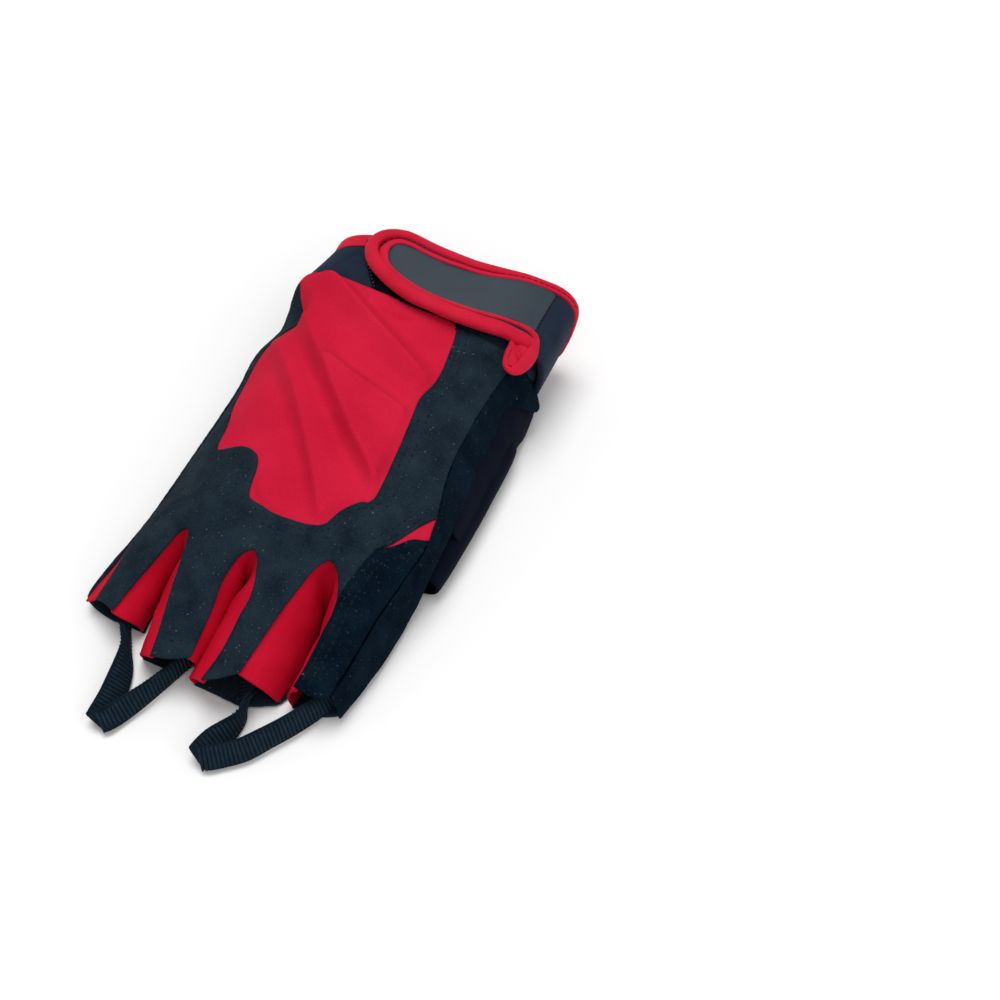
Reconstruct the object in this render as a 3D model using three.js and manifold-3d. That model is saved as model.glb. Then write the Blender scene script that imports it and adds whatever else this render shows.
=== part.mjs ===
// A right-hand half-finger fitness glove lying on its palm, back of the hand up.
// Millimetres, +Z up, fingers along -Y, wrist along +Y, thumb side along +X.
// The glove is hollow: a sheet over the back, a sheet under the palm, gussets between
// the fingers, a side wall, a thumb stall folded under the palm, a cuff and a strap.
import * as THREE from "three";
import { mergeVertices } from "three/addons/utils/BufferGeometryUtils.js";
import Module from "manifold-3d";

const wasm = await Module();
wasm.setup();

// Driving sizes
const suede = 1.2; // wall of the synthetic suede
const stretch = 1.0; // wall of the red stretch fabric
const neoprene = 2.2; // wall of the cuff and the strap's core
const gap = 0.3; // clearance between neighbouring pieces
const backCell = [5, 8]; // grid cell, across and along, of the suede over the back
const redCell = [4.8, 5.4]; // finer cell of the folded red panel
const palmCell = [7, 9]; // grid cell of the palm sheet
const overlap = 0.6; // how far a gusset's edge runs in under the suede
const cuffTop = 89.6; // wrist end of the cuff along Y
const webbing = { width: 9, thick: 1.3 };

// Sections across the hand: where the back sheet ends left and right, and its heights
const handRows = [
  { y: 74, left: -45, right: 43, edge: 15, crown: 37, seam: 32 },
  { y: 58, left: -45.5, right: 42, edge: 13, crown: 36.6, seam: 31.4 },
  { y: 42, left: -49.5, right: 40, edge: 12, crown: 36, seam: 31 },
  { y: 25, left: -48, right: 39, edge: 12, crown: 35.5, seam: 29.5 },
  { y: 8, left: -48, right: 39.5, edge: 11.5, crown: 34.5, seam: 28 },
  { y: -8, left: -48.5, right: 42.5, edge: 11, crown: 33.5, seam: 25.5 },
  { y: -20, left: -48.5, right: 43.5, edge: 11, crown: 33, seam: 23 },
  { y: -34, left: -48.5, right: 41.5, edge: 12, crown: 31.5, seam: 20.5 },
  { y: -46, left: -48.5, right: 39.5, edge: 13, crown: 29, seam: 18 },
  { y: -62, left: -49, right: 38, edge: 11.5, crown: 23, seam: 15 },
  { y: -78, left: -50, right: 36.3, edge: 9.5, crown: 16, seam: 12 },
  { y: -92, left: -50.5, right: 35.5, edge: 8, crown: 13, seam: 10 },
];

// Finger strips: the two long edges of each strip and their heights, root to end
const fingerRows = {
  pinky: [
    { y: -44, left: -48.5, leftZ: 14, right: -30.5, rightZ: 26.5 },
    { y: -54, left: -48.7, leftZ: 13, right: -33.5, rightZ: 22.5 },
    { y: -64, left: -49.2, leftZ: 11.5, right: -37, rightZ: 18.5 },
    { y: -74.2, left: -49.8, leftZ: 9.5, right: -40.3, rightZ: 14 },
  ],
  ring: [
    { y: -46, left: -27, leftZ: 27.5, right: -6.5, rightZ: 29 },
    { y: -55, left: -25.1, leftZ: 25, right: -8.8, rightZ: 25.5 },
    { y: -65, left: -24, leftZ: 21, right: -8.4, rightZ: 21 },
    { y: -75, left: -22.4, leftZ: 17.5, right: -8.2, rightZ: 18 },
    { y: -86, left: -21.2, leftZ: 13.8, right: -8, rightZ: 14.5 },
  ],
  middle: [
    { y: -45, left: -2.5, leftZ: 29.5, right: 16.5, rightZ: 28.3 },
    { y: -56, left: 1, leftZ: 25.3, right: 13.3, rightZ: 24.3 },
    { y: -66, left: 0.4, leftZ: 21.5, right: 11.3, rightZ: 21 },
    { y: -76, left: -0.5, leftZ: 17.5, right: 9.3, rightZ: 17.8 },
    { y: -87, left: -3.2, leftZ: 13.7, right: 7.5, rightZ: 14.5 },
  ],
  index: [
    { y: -42, left: 23.5, leftZ: 29, right: 40.3, rightZ: 19 },
    { y: -50, left: 27.2, leftZ: 25, right: 39.2, rightZ: 17.2 },
    { y: -60, left: 26.7, leftZ: 21, right: 38.1, rightZ: 15.2 },
    { y: -70, left: 26.2, leftZ: 17.8, right: 37, rightZ: 13.4 },
    { y: -79, left: 24.5, leftZ: 13.8, right: 36.2, rightZ: 11.8 },
  ],
};
const fingerCrown = 1.6; // how far a strip's middle stands above its edges

// Open ends of the finger strips, left corner to right corner
const fingerEnds = {
  pinky: [[-49.7, -70.1], [-40.4, -74.2]],
  ring: [[-21.3, -84.4], [-14.5, -84.2], [-8, -81]],
  middle: [[-3.1, -85.8], [3, -84.6], [8.6, -80.4]],
  index: [[24.7, -77.4], [31, -78.4], [36.3, -76.6]],
};

// Crotches between the strips, seen from above
const crotches = [[-28.6, -43.6], [-4.3, -44.6], [20, -38.8]];

// Finger slots of the palm: centre line, half width and depth
const palmSlots = [
  { root: -48, x: [-31.8, -32.4, -31.2], y: [-49, -60, -86], half: 1.3 },
  { root: -49, x: [-10.6, -10.8, -11.4], y: [-50, -60, -86], half: 1.3 },
  { root: -45, x: [20.2, 22.2, 21.4], y: [-46, -60, -86], half: 1.1 },
];

// Walls between the fingers: how far each bows into the gap, left finger's and right finger's
const gussetBow = [
  { left: 0.8, right: 3 },
  { left: 0.8, right: 3.4 },
  { left: 1.2, right: 0.3 },
];

// Folds of the red panel: a ridge line from a to b, its height, and how wide it falls off
// to the left and to the right of that direction
const folds = [
  { a: [-39, 57], b: [23, -9], height: 2.4, left: 7, right: 2.6 },
  { a: [-30, 67.5], b: [20, 37], height: 2, left: 2.6, right: 6.5 },
  { a: [-8, 53.5], b: [17, 38], height: 0.9, left: 3.4, right: 2.6 },
  { a: [-13, 41], b: [22, 21], height: 1.3, left: 2.6, right: 5 },
  { a: [-37, 37], b: [8, -20], height: 1.5, left: 6, right: 2.6 },
  { a: [-17, -23], b: [-5, -32], height: 0.7, left: 3, right: 2.6 },
];
const puff = { x: -35, y: 61, wide: 9, height: 1.6 }; // where the panel stands off at its corner

// Outlines of the back's panels, seen from above
const redOutline = [
  [-42.5, 66.2], [-33, 68.4], [-17.7, 65.8], [4.5, 63], [18.8, 61],
  [21.8, 48.7], [22.4, 37], [20.7, 28.4], [21.6, 18], [22.7, 6], [23.5, -12.9],
  [19.8, -17], [16.2, -22.2], [12, -29.8], [-1, -31.8], [-9.5, -30.2], [-14.2, -28.6],
  [-16.2, -24], [-17.3, -18.3], [-19.2, -13.4], [-22, -11], [-26.5, -9.7], [-36.8, -10],
  [-39.8, 1.5], [-42.7, 9.8], [-45, 17], [-47.2, 31.8], [-46.6, 41], [-42.2, 47.6],
  [-37.4, 49.6], [-37, 53.6], [-41, 60],
];
const crescentOutline = [
  [43.4, -7.8], [40, -12.4], [37.2, -17.9], [34, -24.3], [30.8, -28.6],
  [33.4, -25.8], [36.6, -22.2], [39.4, -19], [44, -15.6],
];
const indexPanelEdge = [
  [44.6, -15.4], [39.8, -18.2], [36.8, -21.6], [31, -28.3], [28.6, -36], [27.6, -44], [27.3, -50],
];

// Palm: where its left edge runs, how high that edge is turned up
const palmEdgeRows = [
  { y: 66, left: -45, rise: 13 },
  { y: 58, left: -45.5, rise: 12.6 },
  { y: 42, left: -49.5, rise: 11.6 },
  { y: 25, left: -48, rise: 11.6 },
  { y: -8, left: -48.5, rise: 10.6 },
  { y: -34, left: -48.6, rise: 11 },
  { y: -44, left: -50.2, rise: 9.6 },
  { y: -54, left: -53, rise: 7 },
  { y: -68, left: -55.5, rise: 4.6 },
  { y: -80, left: -56, rise: 4.6 },
];
const palmRight = [
  [43.6, 63], [47.4, 50], [46.6, 45], [44, 40], [43.6, 10], [44.2, -10], [43.8, -22],
  [42.6, -30], [42.2, -40], [41.6, -52], [39.6, -66], [38.2, -73.6],
];
const palmEnds = [
  [[30, -77.2], [22.4, -76.6]], // index
  [[18.9, -77.2], [14.5, -79.8], [8.6, -82.6], [-2.6, -81.7], [-9.6, -81.2]], // middle
  [[-12.9, -75.8], [-21, -79.6], [-29.4, -79]], // ring
  [[-33, -70.3], [-45, -69.9], [-55.2, -68]], // pinky
];
const palmWrist = 63.6; // wrist end of the palm sheet

// Thumb stall: sections along Y of a flat tube that lies under the palm
const thumbRows = [
  { y: 47, x: 37, halfWide: 9, halfHigh: 5.4 },
  { y: 42, x: 36.6, halfWide: 12.6, halfHigh: 6.6 },
  { y: 26, x: 36.2, halfWide: 13.8, halfHigh: 6.8 },
  { y: 5, x: 36, halfWide: 14, halfHigh: 6.8 },
  { y: -12, x: 35.6, halfWide: 13.8, halfHigh: 6.6 },
  { y: -21.5, x: 35.4, halfWide: 13, halfHigh: 5.8 },
];
const thumbHole = { x: [27, 41], y: [12, 38] }; // way from the hand into the thumb stall
const palmOverThumb = 14.3; // height of the palm sheet where the thumb lies below it

// Side wall on the thumb side: its seam runs with the back sheet, its foot is listed
const sideFootRows = [
  { y: 61, x: 46.8, z: 6.5 },
  { y: 55.5, x: 48, z: 8.5 },
  { y: 51.5, x: 46, z: 16.5 },
  { y: 46, x: 43.4, z: 20 },
  { y: 40.5, x: 42.6, z: 20.5 },
  { y: 36, x: 44, z: 17.6 },
  { y: 23, x: 44.2, z: 17.4 },
  { y: 12, x: 45.3, z: 16.6 },
  { y: 0, x: 45.8, z: 15.6 },
  { y: -18, x: 46, z: 13 },
  { y: -26, x: 45.2, z: 8.5 },
  { y: -34, x: 43.9, z: 3 },
  { y: -52, x: 42.9, z: 2.2 },
  { y: -66, x: 41, z: 2.2 },
  { y: -74.5, x: 39.4, z: 2.2 },
];

// Cuff: the closed curve round the wrist at the hand end and at the open end
const cuffHand = { left: -45.5, right: 47.4, high: 36.5 };
const cuffOpen = { left: -39.6, right: 47.6, high: 36.9 };
const cuffFloor = 1.1; // its under side stands clear by the binding's thickness
const cuffSeamRows = [
  { x: -46, y: 69.4 },
  { x: -33, y: 69.1 },
  { x: -17.7, y: 66.6 },
  { x: 4.5, y: 64.1 },
  { x: 18.8, y: 62.4 },
  { x: 40, y: 60.5 },
  { x: 50, y: 60.5 },
]; // hand end of the cuff over the back of the hand
const cuffUnder = 64.4; // the same under the palm
const cuffPower = 2.9; // squareness of the curve round the wrist
const cuffLean = { from: 32, slope: 0.27 }; // its thumb side leans in under this height
const cuffCols = 34; // places round the wrist

// Strap in plan: its outer edge, from the lower right round the tip to the upper right
const strapLower = [
  [49.5, 60.4], [42, 58.8], [27.5, 58.4], [19.4, 58.8], [11, 59.8], [2.3, 61.5],
  [-7, 64.4], [-14.9, 68.9], [-20.8, 74.4],
];
const strapTip = [[-24, 80], [-24.6, 85.2], [-21.6, 89.4], [-16.5, 91.2]];
const strapUpper = [[-8, 90.8], [3.4, 88.6], [15.2, 87.6], [30.7, 88], [41.8, 88.6], [49.5, 88.8]];
const patchOutline = [
  [43.6, 68.9], [31.3, 68.3], [24, 67.1], [12, 67], [3.2, 68.7], [-6, 72.5], [-12.6, 77.3],
  [-14.4, 80.2], [-13.2, 82.9], [-7.6, 82.8], [1.3, 81.6], [9.8, 80.8], [21.7, 81.3],
  [31, 83], [38.7, 83.9], [43.8, 84.2],
];
const bindingWide = { lower: 8.2, upper: 6.4 }; // red border of the strap in plan
const hookCentre = [43.8, 56.6]; // where the binding curls round the root of the slit
const hookRadius = 5.8;
const strapLift = 1.6; // under side of the strap above the cuff
const strapCore = 2; // neoprene inside the binding
const bindingThick = 4.2;
const patchThick = 1;

// Pull loops: centre line, height and turn of the webbing (0 flat, 90 on edge), in order
const loopPaths = {
  pull_loop_ring: [
    { x: -42, y: -61, z: 2.9, turn: 0 },
    { x: -41, y: -68.5, z: 2.9, turn: 0 },
    { x: -38.6, y: -75, z: 4, turn: -28 },
    { x: -35.8, y: -84, z: 5, turn: -72 },
    { x: -34, y: -94, z: 4.8, turn: -84 },
    { x: -31.8, y: -102, z: 4.8, turn: -88 },
    { x: -28.2, y: -106, z: 4.9, turn: -98 },
    { x: -23.8, y: -102.6, z: 4.8, turn: -108 },
    { x: -20, y: -95.6, z: 4.6, turn: -112 },
    { x: -17.8, y: -87.5, z: 4.4, turn: -118 },
    { x: -18.2, y: -80, z: 3.8, turn: -146 },
    { x: -19.4, y: -73, z: 2.9, turn: -180 },
    { x: -20, y: -66, z: 2.9, turn: -180 },
  ],
  pull_loop_middle: [
    { x: 6.5, y: -70, z: 2.9, turn: 0 },
    { x: 7.4, y: -78, z: 2.9, turn: 0 },
    { x: 8.6, y: -85, z: 3.9, turn: -30 },
    { x: 8.4, y: -91, z: 4.8, turn: -62 },
    { x: 6.6, y: -98, z: 4.8, turn: -78 },
    { x: 5.8, y: -103.4, z: 4.9, turn: -92 },
    { x: 9.6, y: -106.4, z: 4.9, turn: -100 },
    { x: 15.2, y: -102, z: 4.8, turn: -108 },
    { x: 20.6, y: -94.8, z: 4.7, turn: -112 },
    { x: 25.6, y: -87, z: 4.5, turn: -118 },
    { x: 29.2, y: -80.4, z: 3.9, turn: -146 },
    { x: 31, y: -73, z: 2.9, turn: -180 },
    { x: 31.4, y: -65, z: 2.9, turn: -180 },
  ],
};

const clamp = (v, low, high) => Math.min(high, Math.max(low, v));
const mix = (a, b, t) => a + (b - a) * t;
const ease = (from, to, v) => {
  const t = clamp((v - from) / (to - from), 0, 1);
  return t * t * (3 - 2 * t);
};

// One column of a table as a smooth function of another (Catmull-Rom through the rows).
function column(rows, key, name) {
  const list = rows[0][key] > rows[rows.length - 1][key] ? [...rows].reverse() : rows;
  return (v) => {
    const at = clamp(v, list[0][key], list[list.length - 1][key]);
    let i = 0;
    while (i < list.length - 2 && at > list[i + 1][key]) i++;
    const [p1, p2] = [list[i], list[i + 1]];
    const [p0, p3] = [list[i - 1] ?? p1, list[i + 2] ?? p2];
    const span = p2[key] - p1[key];
    const t = (at - p1[key]) / span;
    const slope = (a, b) => ((b[name] - a[name]) / (b[key] - a[key])) * span;
    const [m1, m2] = [slope(p0, p2), slope(p1, p3)];
    const [t2, t3] = [t * t, t * t * t];
    return (2 * t3 - 3 * t2 + 1) * p1[name] + (t3 - 2 * t2 + t) * m1
      + (3 * t2 - 2 * t3) * p2[name] + (t3 - t2) * m2;
  };
}

const hand = Object.fromEntries(
  ["left", "right", "edge", "crown", "seam"].map((n) => [n, column(handRows, "y", n)]),
);
const fingers = Object.fromEntries(
  Object.entries(fingerRows).map(([name, rows]) => [name, Object.fromEntries(
    ["left", "leftZ", "right", "rightZ"].map((n) => [n, column(rows, "y", n)]),
  )]),
);

// Height of the arch over the hand.
function archHeight(x, y) {
  const peak = 0.52; // where across the hand the arch is highest
  const u = clamp((x - hand.left(y)) / (hand.right(y) - hand.left(y)), 0, 1);
  const rise = u < peak ? (1 - u / peak) ** 3 : ((u - peak) / (1 - peak)) ** 2.6;
  const foot = u < peak ? hand.edge(y) : hand.seam(y);
  return foot + (hand.crown(y) - foot) * (1 - rise);
}

// Height over the finger that lies nearest to x.
function fingerHeight(x, y) {
  let best = null;
  for (const f of Object.values(fingers)) {
    const [l, r] = [f.left(y), f.right(y)];
    const away = Math.max(l - x, x - r, 0);
    if (!best || away < best.away) best = { f, l, r, away };
  }
  const v = clamp((x - best.l) / (best.r - best.l), 0, 1);
  return mix(best.f.leftZ(y), best.f.rightZ(y), v) + fingerCrown * 4 * v * (1 - v);
}

// Folds stand on the red panel and fade at its edges and past their own ends.
const bell = (d, half) => Math.exp(-((d / half) ** 2));
function foldHeight(x, y) {
  const fade = ease(-46.5, -41, x) * ease(24, 17, x) * ease(-33, -24, y) * ease(68.6, 65, y);
  if (fade === 0) return 0;
  let h = puff.height * bell(Math.hypot(x - puff.x, y - puff.y), puff.wide);
  for (const { a, b, height, left, right } of folds) {
    const [dx, dy] = [b[0] - a[0], b[1] - a[1]];
    const long = Math.hypot(dx, dy);
    const t = ((x - a[0]) * dx + (y - a[1]) * dy) / (long * long);
    const side = (dx * (y - a[1]) - dy * (x - a[0])) / long;
    const ends = ease(-0.14, 0.06, t) * ease(1.15, 0.8, t);
    h += height * ends * bell(side, side > 0 ? left : right) * (1 - 0.3 * clamp(t, 0, 1));
  }
  return fade * h;
}

// Outer surface of the back of the glove, over hand and fingers.
function backHeight(x, y) {
  const toFinger = ease(-36, -52, y);
  const arch = archHeight(x, y);
  return toFinger ? mix(arch, fingerHeight(x, y), toFinger) : arch;
}

// Under side of the palm sheet: turned up at the little-finger side, raised over the thumb.
const palmLeft = column(palmEdgeRows, "y", "left");
const palmRise = column(palmEdgeRows, "y", "rise");
const turnUpWide = 8;
function palmHeight(x, y) {
  const turned = palmRise(y) * clamp(1 - (x - palmLeft(y)) / turnUpWide, 0, 1) ** 2.2;
  const raised = palmOverThumb * ease(14, 22, x) * ease(-35, -24, y) * ease(58, 49.5, y);
  return Math.max(turned, raised);
}

// A closed indexed triangle list as a manifold-3d solid, and a solid as a three.js geometry.
function solid(positions, triangles) {
  const mesh = new wasm.Mesh({
    numProp: 3,
    vertProperties: new Float32Array(positions.flat()),
    triVerts: new Uint32Array(triangles.flat()),
  });
  const made = new wasm.Manifold(mesh);
  if (made.volume() > 0) return made;
  return solid(positions, triangles.map(([a, b, c]) => [a, c, b]));
}

function fromGeometry(geometry) {
  geometry.deleteAttribute("normal");
  geometry.deleteAttribute("uv");
  const merged = mergeVertices(geometry, 1e-4);
  const p = merged.getAttribute("position");
  const points = Array.from({ length: p.count }, (_, i) => [p.getX(i), p.getY(i), p.getZ(i)]);
  const index = merged.index.array;
  const faces = [];
  for (let i = 0; i < index.length; i += 3) faces.push([index[i], index[i + 1], index[i + 2]]);
  return solid(points, faces);
}

function toGeometry(made) {
  const mesh = made.getMesh();
  const n = mesh.numProp;
  const positions = new Float32Array((mesh.vertProperties.length / n) * 3);
  for (let i = 0; i < positions.length / 3; i++)
    for (let k = 0; k < 3; k++) positions[i * 3 + k] = mesh.vertProperties[i * n + k];
  const geometry = new THREE.BufferGeometry();
  geometry.setAttribute("position", new THREE.BufferAttribute(positions, 3));
  geometry.setIndex(new THREE.BufferAttribute(new Uint32Array(mesh.triVerts), 1));
  geometry.computeVertexNormals();
  return geometry;
}

// A wall between two grids of points: outer(i, j) and inner(i, j), closed round its rim.
// With ring set, the first and last columns meet and only the ends of i are rims.
function wall(rows, cols, outer, inner, ring = false) {
  const [points, faces] = [[], []];
  const wide = ring ? cols : cols + 1;
  for (const side of [outer, inner])
    for (let i = 0; i <= rows; i++) for (let j = 0; j < wide; j++) points.push(side(i, j));
  const at = (side, i, j) => side * (rows + 1) * wide + i * wide + (j % wide);
  const quad = (a, b, c, d) => faces.push([a, b, c], [a, c, d]);
  for (let i = 0; i < rows; i++)
    for (let j = 0; j < cols; j++) {
      quad(at(0, i, j), at(0, i, j + 1), at(0, i + 1, j + 1), at(0, i + 1, j));
      quad(at(1, i, j), at(1, i + 1, j), at(1, i + 1, j + 1), at(1, i, j + 1));
    }
  for (let j = 0; j < cols; j++) {
    quad(at(0, 0, j), at(1, 0, j), at(1, 0, j + 1), at(0, 0, j + 1));
    quad(at(0, rows, j), at(0, rows, j + 1), at(1, rows, j + 1), at(1, rows, j));
  }
  for (let i = 0; i < rows && !ring; i++) {
    quad(at(0, i, 0), at(0, i + 1, 0), at(1, i + 1, 0), at(1, i, 0));
    quad(at(0, i, cols), at(1, i, cols), at(1, i + 1, cols), at(0, i + 1, cols));
  }
  return solid(points, faces);
}

// A closed section of a few points carried round a ring of places.
function loopOf(sides, places, at) {
  const [points, faces] = [[], []];
  for (let i = 0; i < sides; i++) for (let j = 0; j < places; j++) points.push(at(i, j));
  const index = (i, j) => (i % sides) * places + (j % places);
  for (let i = 0; i < sides; i++)
    for (let j = 0; j < places; j++) {
      const [a, b, c, d] = [index(i, j), index(i, j + 1), index(i + 1, j + 1), index(i + 1, j)];
      faces.push([a, b, c], [a, c, d]);
    }
  return solid(points, faces);
}

// A sheet under the surface height(x, y), as thick as the cloth measured square to it.
function sheet(height, thick, cell, box) {
  const cols = Math.round((box.x[1] - box.x[0]) / cell[0]);
  const rows = Math.round((box.y[1] - box.y[0]) / cell[1]);
  const place = (i, j) => [mix(...box.x, j / cols), mix(...box.y, i / rows)];
  const steep = (x, y) => {
    const step = 0.5;
    const gx = (height(x + step, y) - height(x - step, y)) / (2 * step);
    const gy = (height(x, y + step) - height(x, y - step)) / (2 * step);
    return Math.min(2.6, Math.hypot(1, gx, gy));
  };
  const outer = (i, j) => {
    const [x, y] = place(i, j);
    return [x, y, height(x, y)];
  };
  const inner = (i, j) => {
    const [x, y] = place(i, j);
    return [x, y, height(x, y) - thick * steep(x, y)];
  };
  return wall(rows, cols, outer, inner);
}

// A smooth closed outline through a few points, and the upright prism that it cuts.
function smoothLine(points, steps, closed = false) {
  const curve = new THREE.CatmullRomCurve3(
    points.map(([x, y, z = 0]) => new THREE.Vector3(x, y, z)), closed, "centripetal",
  );
  const line = curve.getPoints(steps).map((p) => [p.x, p.y, p.z]);
  if (closed) line.pop();
  return line;
}

function prism(outline) {
  const shape = new THREE.Shape(outline.map(([x, y]) => new THREE.Vector2(x, y)));
  const geometry = new THREE.ExtrudeGeometry(shape, { depth: 90, bevelEnabled: false });
  geometry.translate(0, 0, -15);
  return fromGeometry(geometry);
}

// An outline moved outwards by a distance (inwards if it is negative).
function grow(outline, by) {
  const n = outline.length;
  let area = 0;
  for (let i = 0; i < n; i++) {
    const [p, q] = [outline[i], outline[(i + 1) % n]];
    area += p[0] * q[1] - q[0] * p[1];
  }
  const turn = Math.sign(area) * by;
  return outline.map((p, i) => {
    const [a, b] = [outline[(i + n - 1) % n], outline[(i + 1) % n]];
    const long = Math.hypot(b[0] - a[0], b[1] - a[1]) || 1;
    return [p[0] + ((b[1] - a[1]) / long) * turn, p[1] - ((b[0] - a[0]) / long) * turn];
  });
}

// The long edge of a finger strip as points [x, y, z], from its root down to its end.
function stripEdge(name, side, rootY, endY, steps) {
  const f = fingers[name];
  return Array.from({ length: steps + 1 }, (_, i) => {
    const y = mix(rootY, endY, i / steps);
    return [f[side](y), y, backHeight(f[side](y), y)];
  });
}

const order = ["pinky", "ring", "middle", "index"];
const rootY = { pinky: -50, ring: -51, middle: -50, index: -47 };

// The gap between two strips, left strip's end round the crotch to the right strip's end.
function gapEdge(i) {
  const [leftName, rightName] = [order[i], order[i + 1]];
  const leftEnd = fingerEnds[leftName].at(-1)[1];
  const rightEnd = fingerEnds[rightName][0][1];
  const up = stripEdge(leftName, "right", rootY[leftName], leftEnd, 4).reverse();
  const down = stripEdge(rightName, "left", rootY[rightName], rightEnd, 4);
  const [cx, cy] = crotches[i];
  const [a, b] = [up.at(-1), down[0]];
  const shoulder = (p, t) => [mix(cx, p[0], t), mix(cy, p[1], t * t)];
  return [...up, shoulder(a, 0.55), [cx, cy], shoulder(b, 0.55), ...down].map(([x, y]) => [x, y]);
}

// Plan outline of the whole back sheet.
function backOutline() {
  const line = [];
  for (let y = 66; y > -70; y -= 6.8) line.push([hand.left(y), y]);
  line.push(...fingerEnds.pinky);
  for (let i = 0; i < 3; i++) {
    line.push(...gapEdge(i).slice(1, -1));
    line.push(...fingerEnds[order[i + 1]]);
  }
  for (let y = -70; y < 60; y += 6.5) line.push([hand.right(y), y]);
  line.push([42, 59.6], [19, 60.6], [17, 57], [-10, 60], [-36, 64]);
  return line;
}

const backBox = { x: [-58, 54], y: [-90, 74] };
const steadyRed = smoothLine(redOutline, 52, true);
const steadyCrescent = smoothLine(crescentOutline, 27, true);

function backPanel() {
  const surface = (x, y) => backHeight(x, y) + foldHeight(x, y) - 0.3;
  return sheet(surface, stretch, redCell, backBox).intersect(prism(steadyRed));
}

function indexRegion(by) {
  const edge = smoothLine(indexPanelEdge, 18).map(([x, y]) => [x - by, y + by]);
  return prism([...edge, [26.6, -60], [20, -88], [52, -88], [52, edge[0][1]]]);
}

const backSuede = () => sheet(backHeight, suede, backCell, backBox).intersect(prism(backOutline()));

function knuckleFrame() {
  return backSuede()
    .subtract(prism(grow(steadyRed, gap)))
    .subtract(prism(grow(steadyCrescent, gap)))
    .subtract(indexRegion(gap));
}

const indexPanel = () => backSuede().intersect(indexRegion(0)).subtract(prism(grow(steadyCrescent, gap)));

function indexGusset() {
  const surface = (x, y) => backHeight(x, y) - 0.3;
  return sheet(surface, stretch, redCell, backBox)
    .intersect(prism(steadyCrescent))
    .intersect(prism(backOutline()));
}

// The palm's plan outline: left edge, finger ends with slots between, right edge, wrist.
function slotEdge({ root, x, y, half }) {
  const at = (yy) => new THREE.SplineCurve(
    x.map((v, k) => new THREE.Vector2(v, y[k])),
  ).getPoint(clamp((y[0] - yy) / (y[0] - y[2]), 0, 1)).x;
  const depths = [root - 1, root - 8, root - 18, root - 27];
  const side = (s) => depths.map((yy) => [at(yy) + s * half, yy]);
  return { right: side(1).reverse(), top: [[at(root), root + 0.6]], left: side(-1) };
}

function palmOutline() {
  const line = [...palmRight];
  palmEnds.forEach((end, k) => {
    line.push(...end);
    const slot = palmSlots[2 - k];
    if (!slot) return;
    const low = Math.max(end.at(-1)[1], palmEnds[k + 1][0][1]);
    const inside = ([, y]) => y > low + 1.5;
    const { right, top, left } = slotEdge(slot);
    line.push(...right.filter(inside), ...top, ...left.filter(inside));
  });
  for (let y = -62; y < palmWrist; y += 8) line.push([palmLeft(y), y]);
  line.push([palmLeft(palmWrist), palmWrist], [-20, palmWrist], [20, palmWrist - 0.6]);
  return line;
}

function palmPanel() {
  const { x, y } = thumbHole;
  const hole = prism([[x[0], y[0]], [x[1], y[0]], [x[1], y[1]], [x[0], y[1]]]);
  const surface = (px, py) => palmHeight(px, py) + suede;
  return sheet(surface, suede, palmCell, backBox).intersect(prism(palmOutline())).subtract(hole);
}

// A ribbon between a top line and a foot line, bowed outwards, with its wall inwards.
function ribbon(top, foot, steps, bow, thick, inward) {
  const a = smoothLine(top, steps);
  const b = smoothLine(foot, steps);
  const across = 4;
  const outer = (i, j) => {
    const t = j / across;
    const out = bow(i / steps) * 4 * t * (1 - t);
    const away = inward(a[i], b[i], i / steps);
    return [0, 1, 2].map((k) => mix(a[i][k], b[i][k], t) - away[k] * out);
  };
  const inner = (i, j) => {
    const p = outer(i, j);
    const away = inward(a[i], b[i], i / steps);
    return p.map((v, k) => v + away[k] * thick);
  };
  return wall(steps, across, outer, inner);
}

// Gusset between two fingers: both inner finger walls and the crotch, in one folded strip.
function gusset(i) {
  const edge = gapEdge(i);
  const inside = (p, k) => {
    const [a, b] = [edge[Math.max(k - 1, 0)], edge[Math.min(k + 1, edge.length - 1)]];
    const long = Math.hypot(b[0] - a[0], b[1] - a[1]);
    return [-(b[1] - a[1]) / long, (b[0] - a[0]) / long];
  };
  const top = edge.map((p, k) => {
    const n = inside(p, k);
    const [x, y] = [p[0] + n[0] * overlap, p[1] + n[1] * overlap];
    return [x, y, backHeight(x, y) - suede * 1.6 - gap];
  });
  const slot = palmSlots[i];
  const { right, top: crown, left } = slotEdge(slot);
  const down = [...left].reverse();
  const footLine = [...down, ...crown, ...[...right].reverse()];
  const sideEnd = [palmEnds[3 - i][0], palmEnds[2 - i].at(-1)];
  footLine[0] = [sideEnd[0][0], sideEnd[0][1]];
  footLine[footLine.length - 1] = [sideEnd[1][0], sideEnd[1][1]];
  const middle = (footLine.length - 1) / 2;
  const foot = footLine.map(([x, y], k) => {
    const s = Math.sign(k - middle);
    const px = x + s * overlap;
    const py = s === 0 ? y + overlap : y;
    return [px, py, palmHeight(px, py) + suede + gap];
  });
  const towards = (a, b, t) => {
    const s = clamp((t - 0.5) * 9, -1, 1);
    const along = Math.sqrt(Math.max(0, 1 - s * s));
    return [s, along, 0];
  };
  const { left: bowLeft, right: bowRight } = gussetBow[i];
  const bow = (t) => 0.3 + (t < 0.5 ? bowLeft : bowRight) * ease(0.03, 0.3, Math.abs(t - 0.5));
  return ribbon(top, foot, 18, bow, stretch, towards);
}

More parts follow.
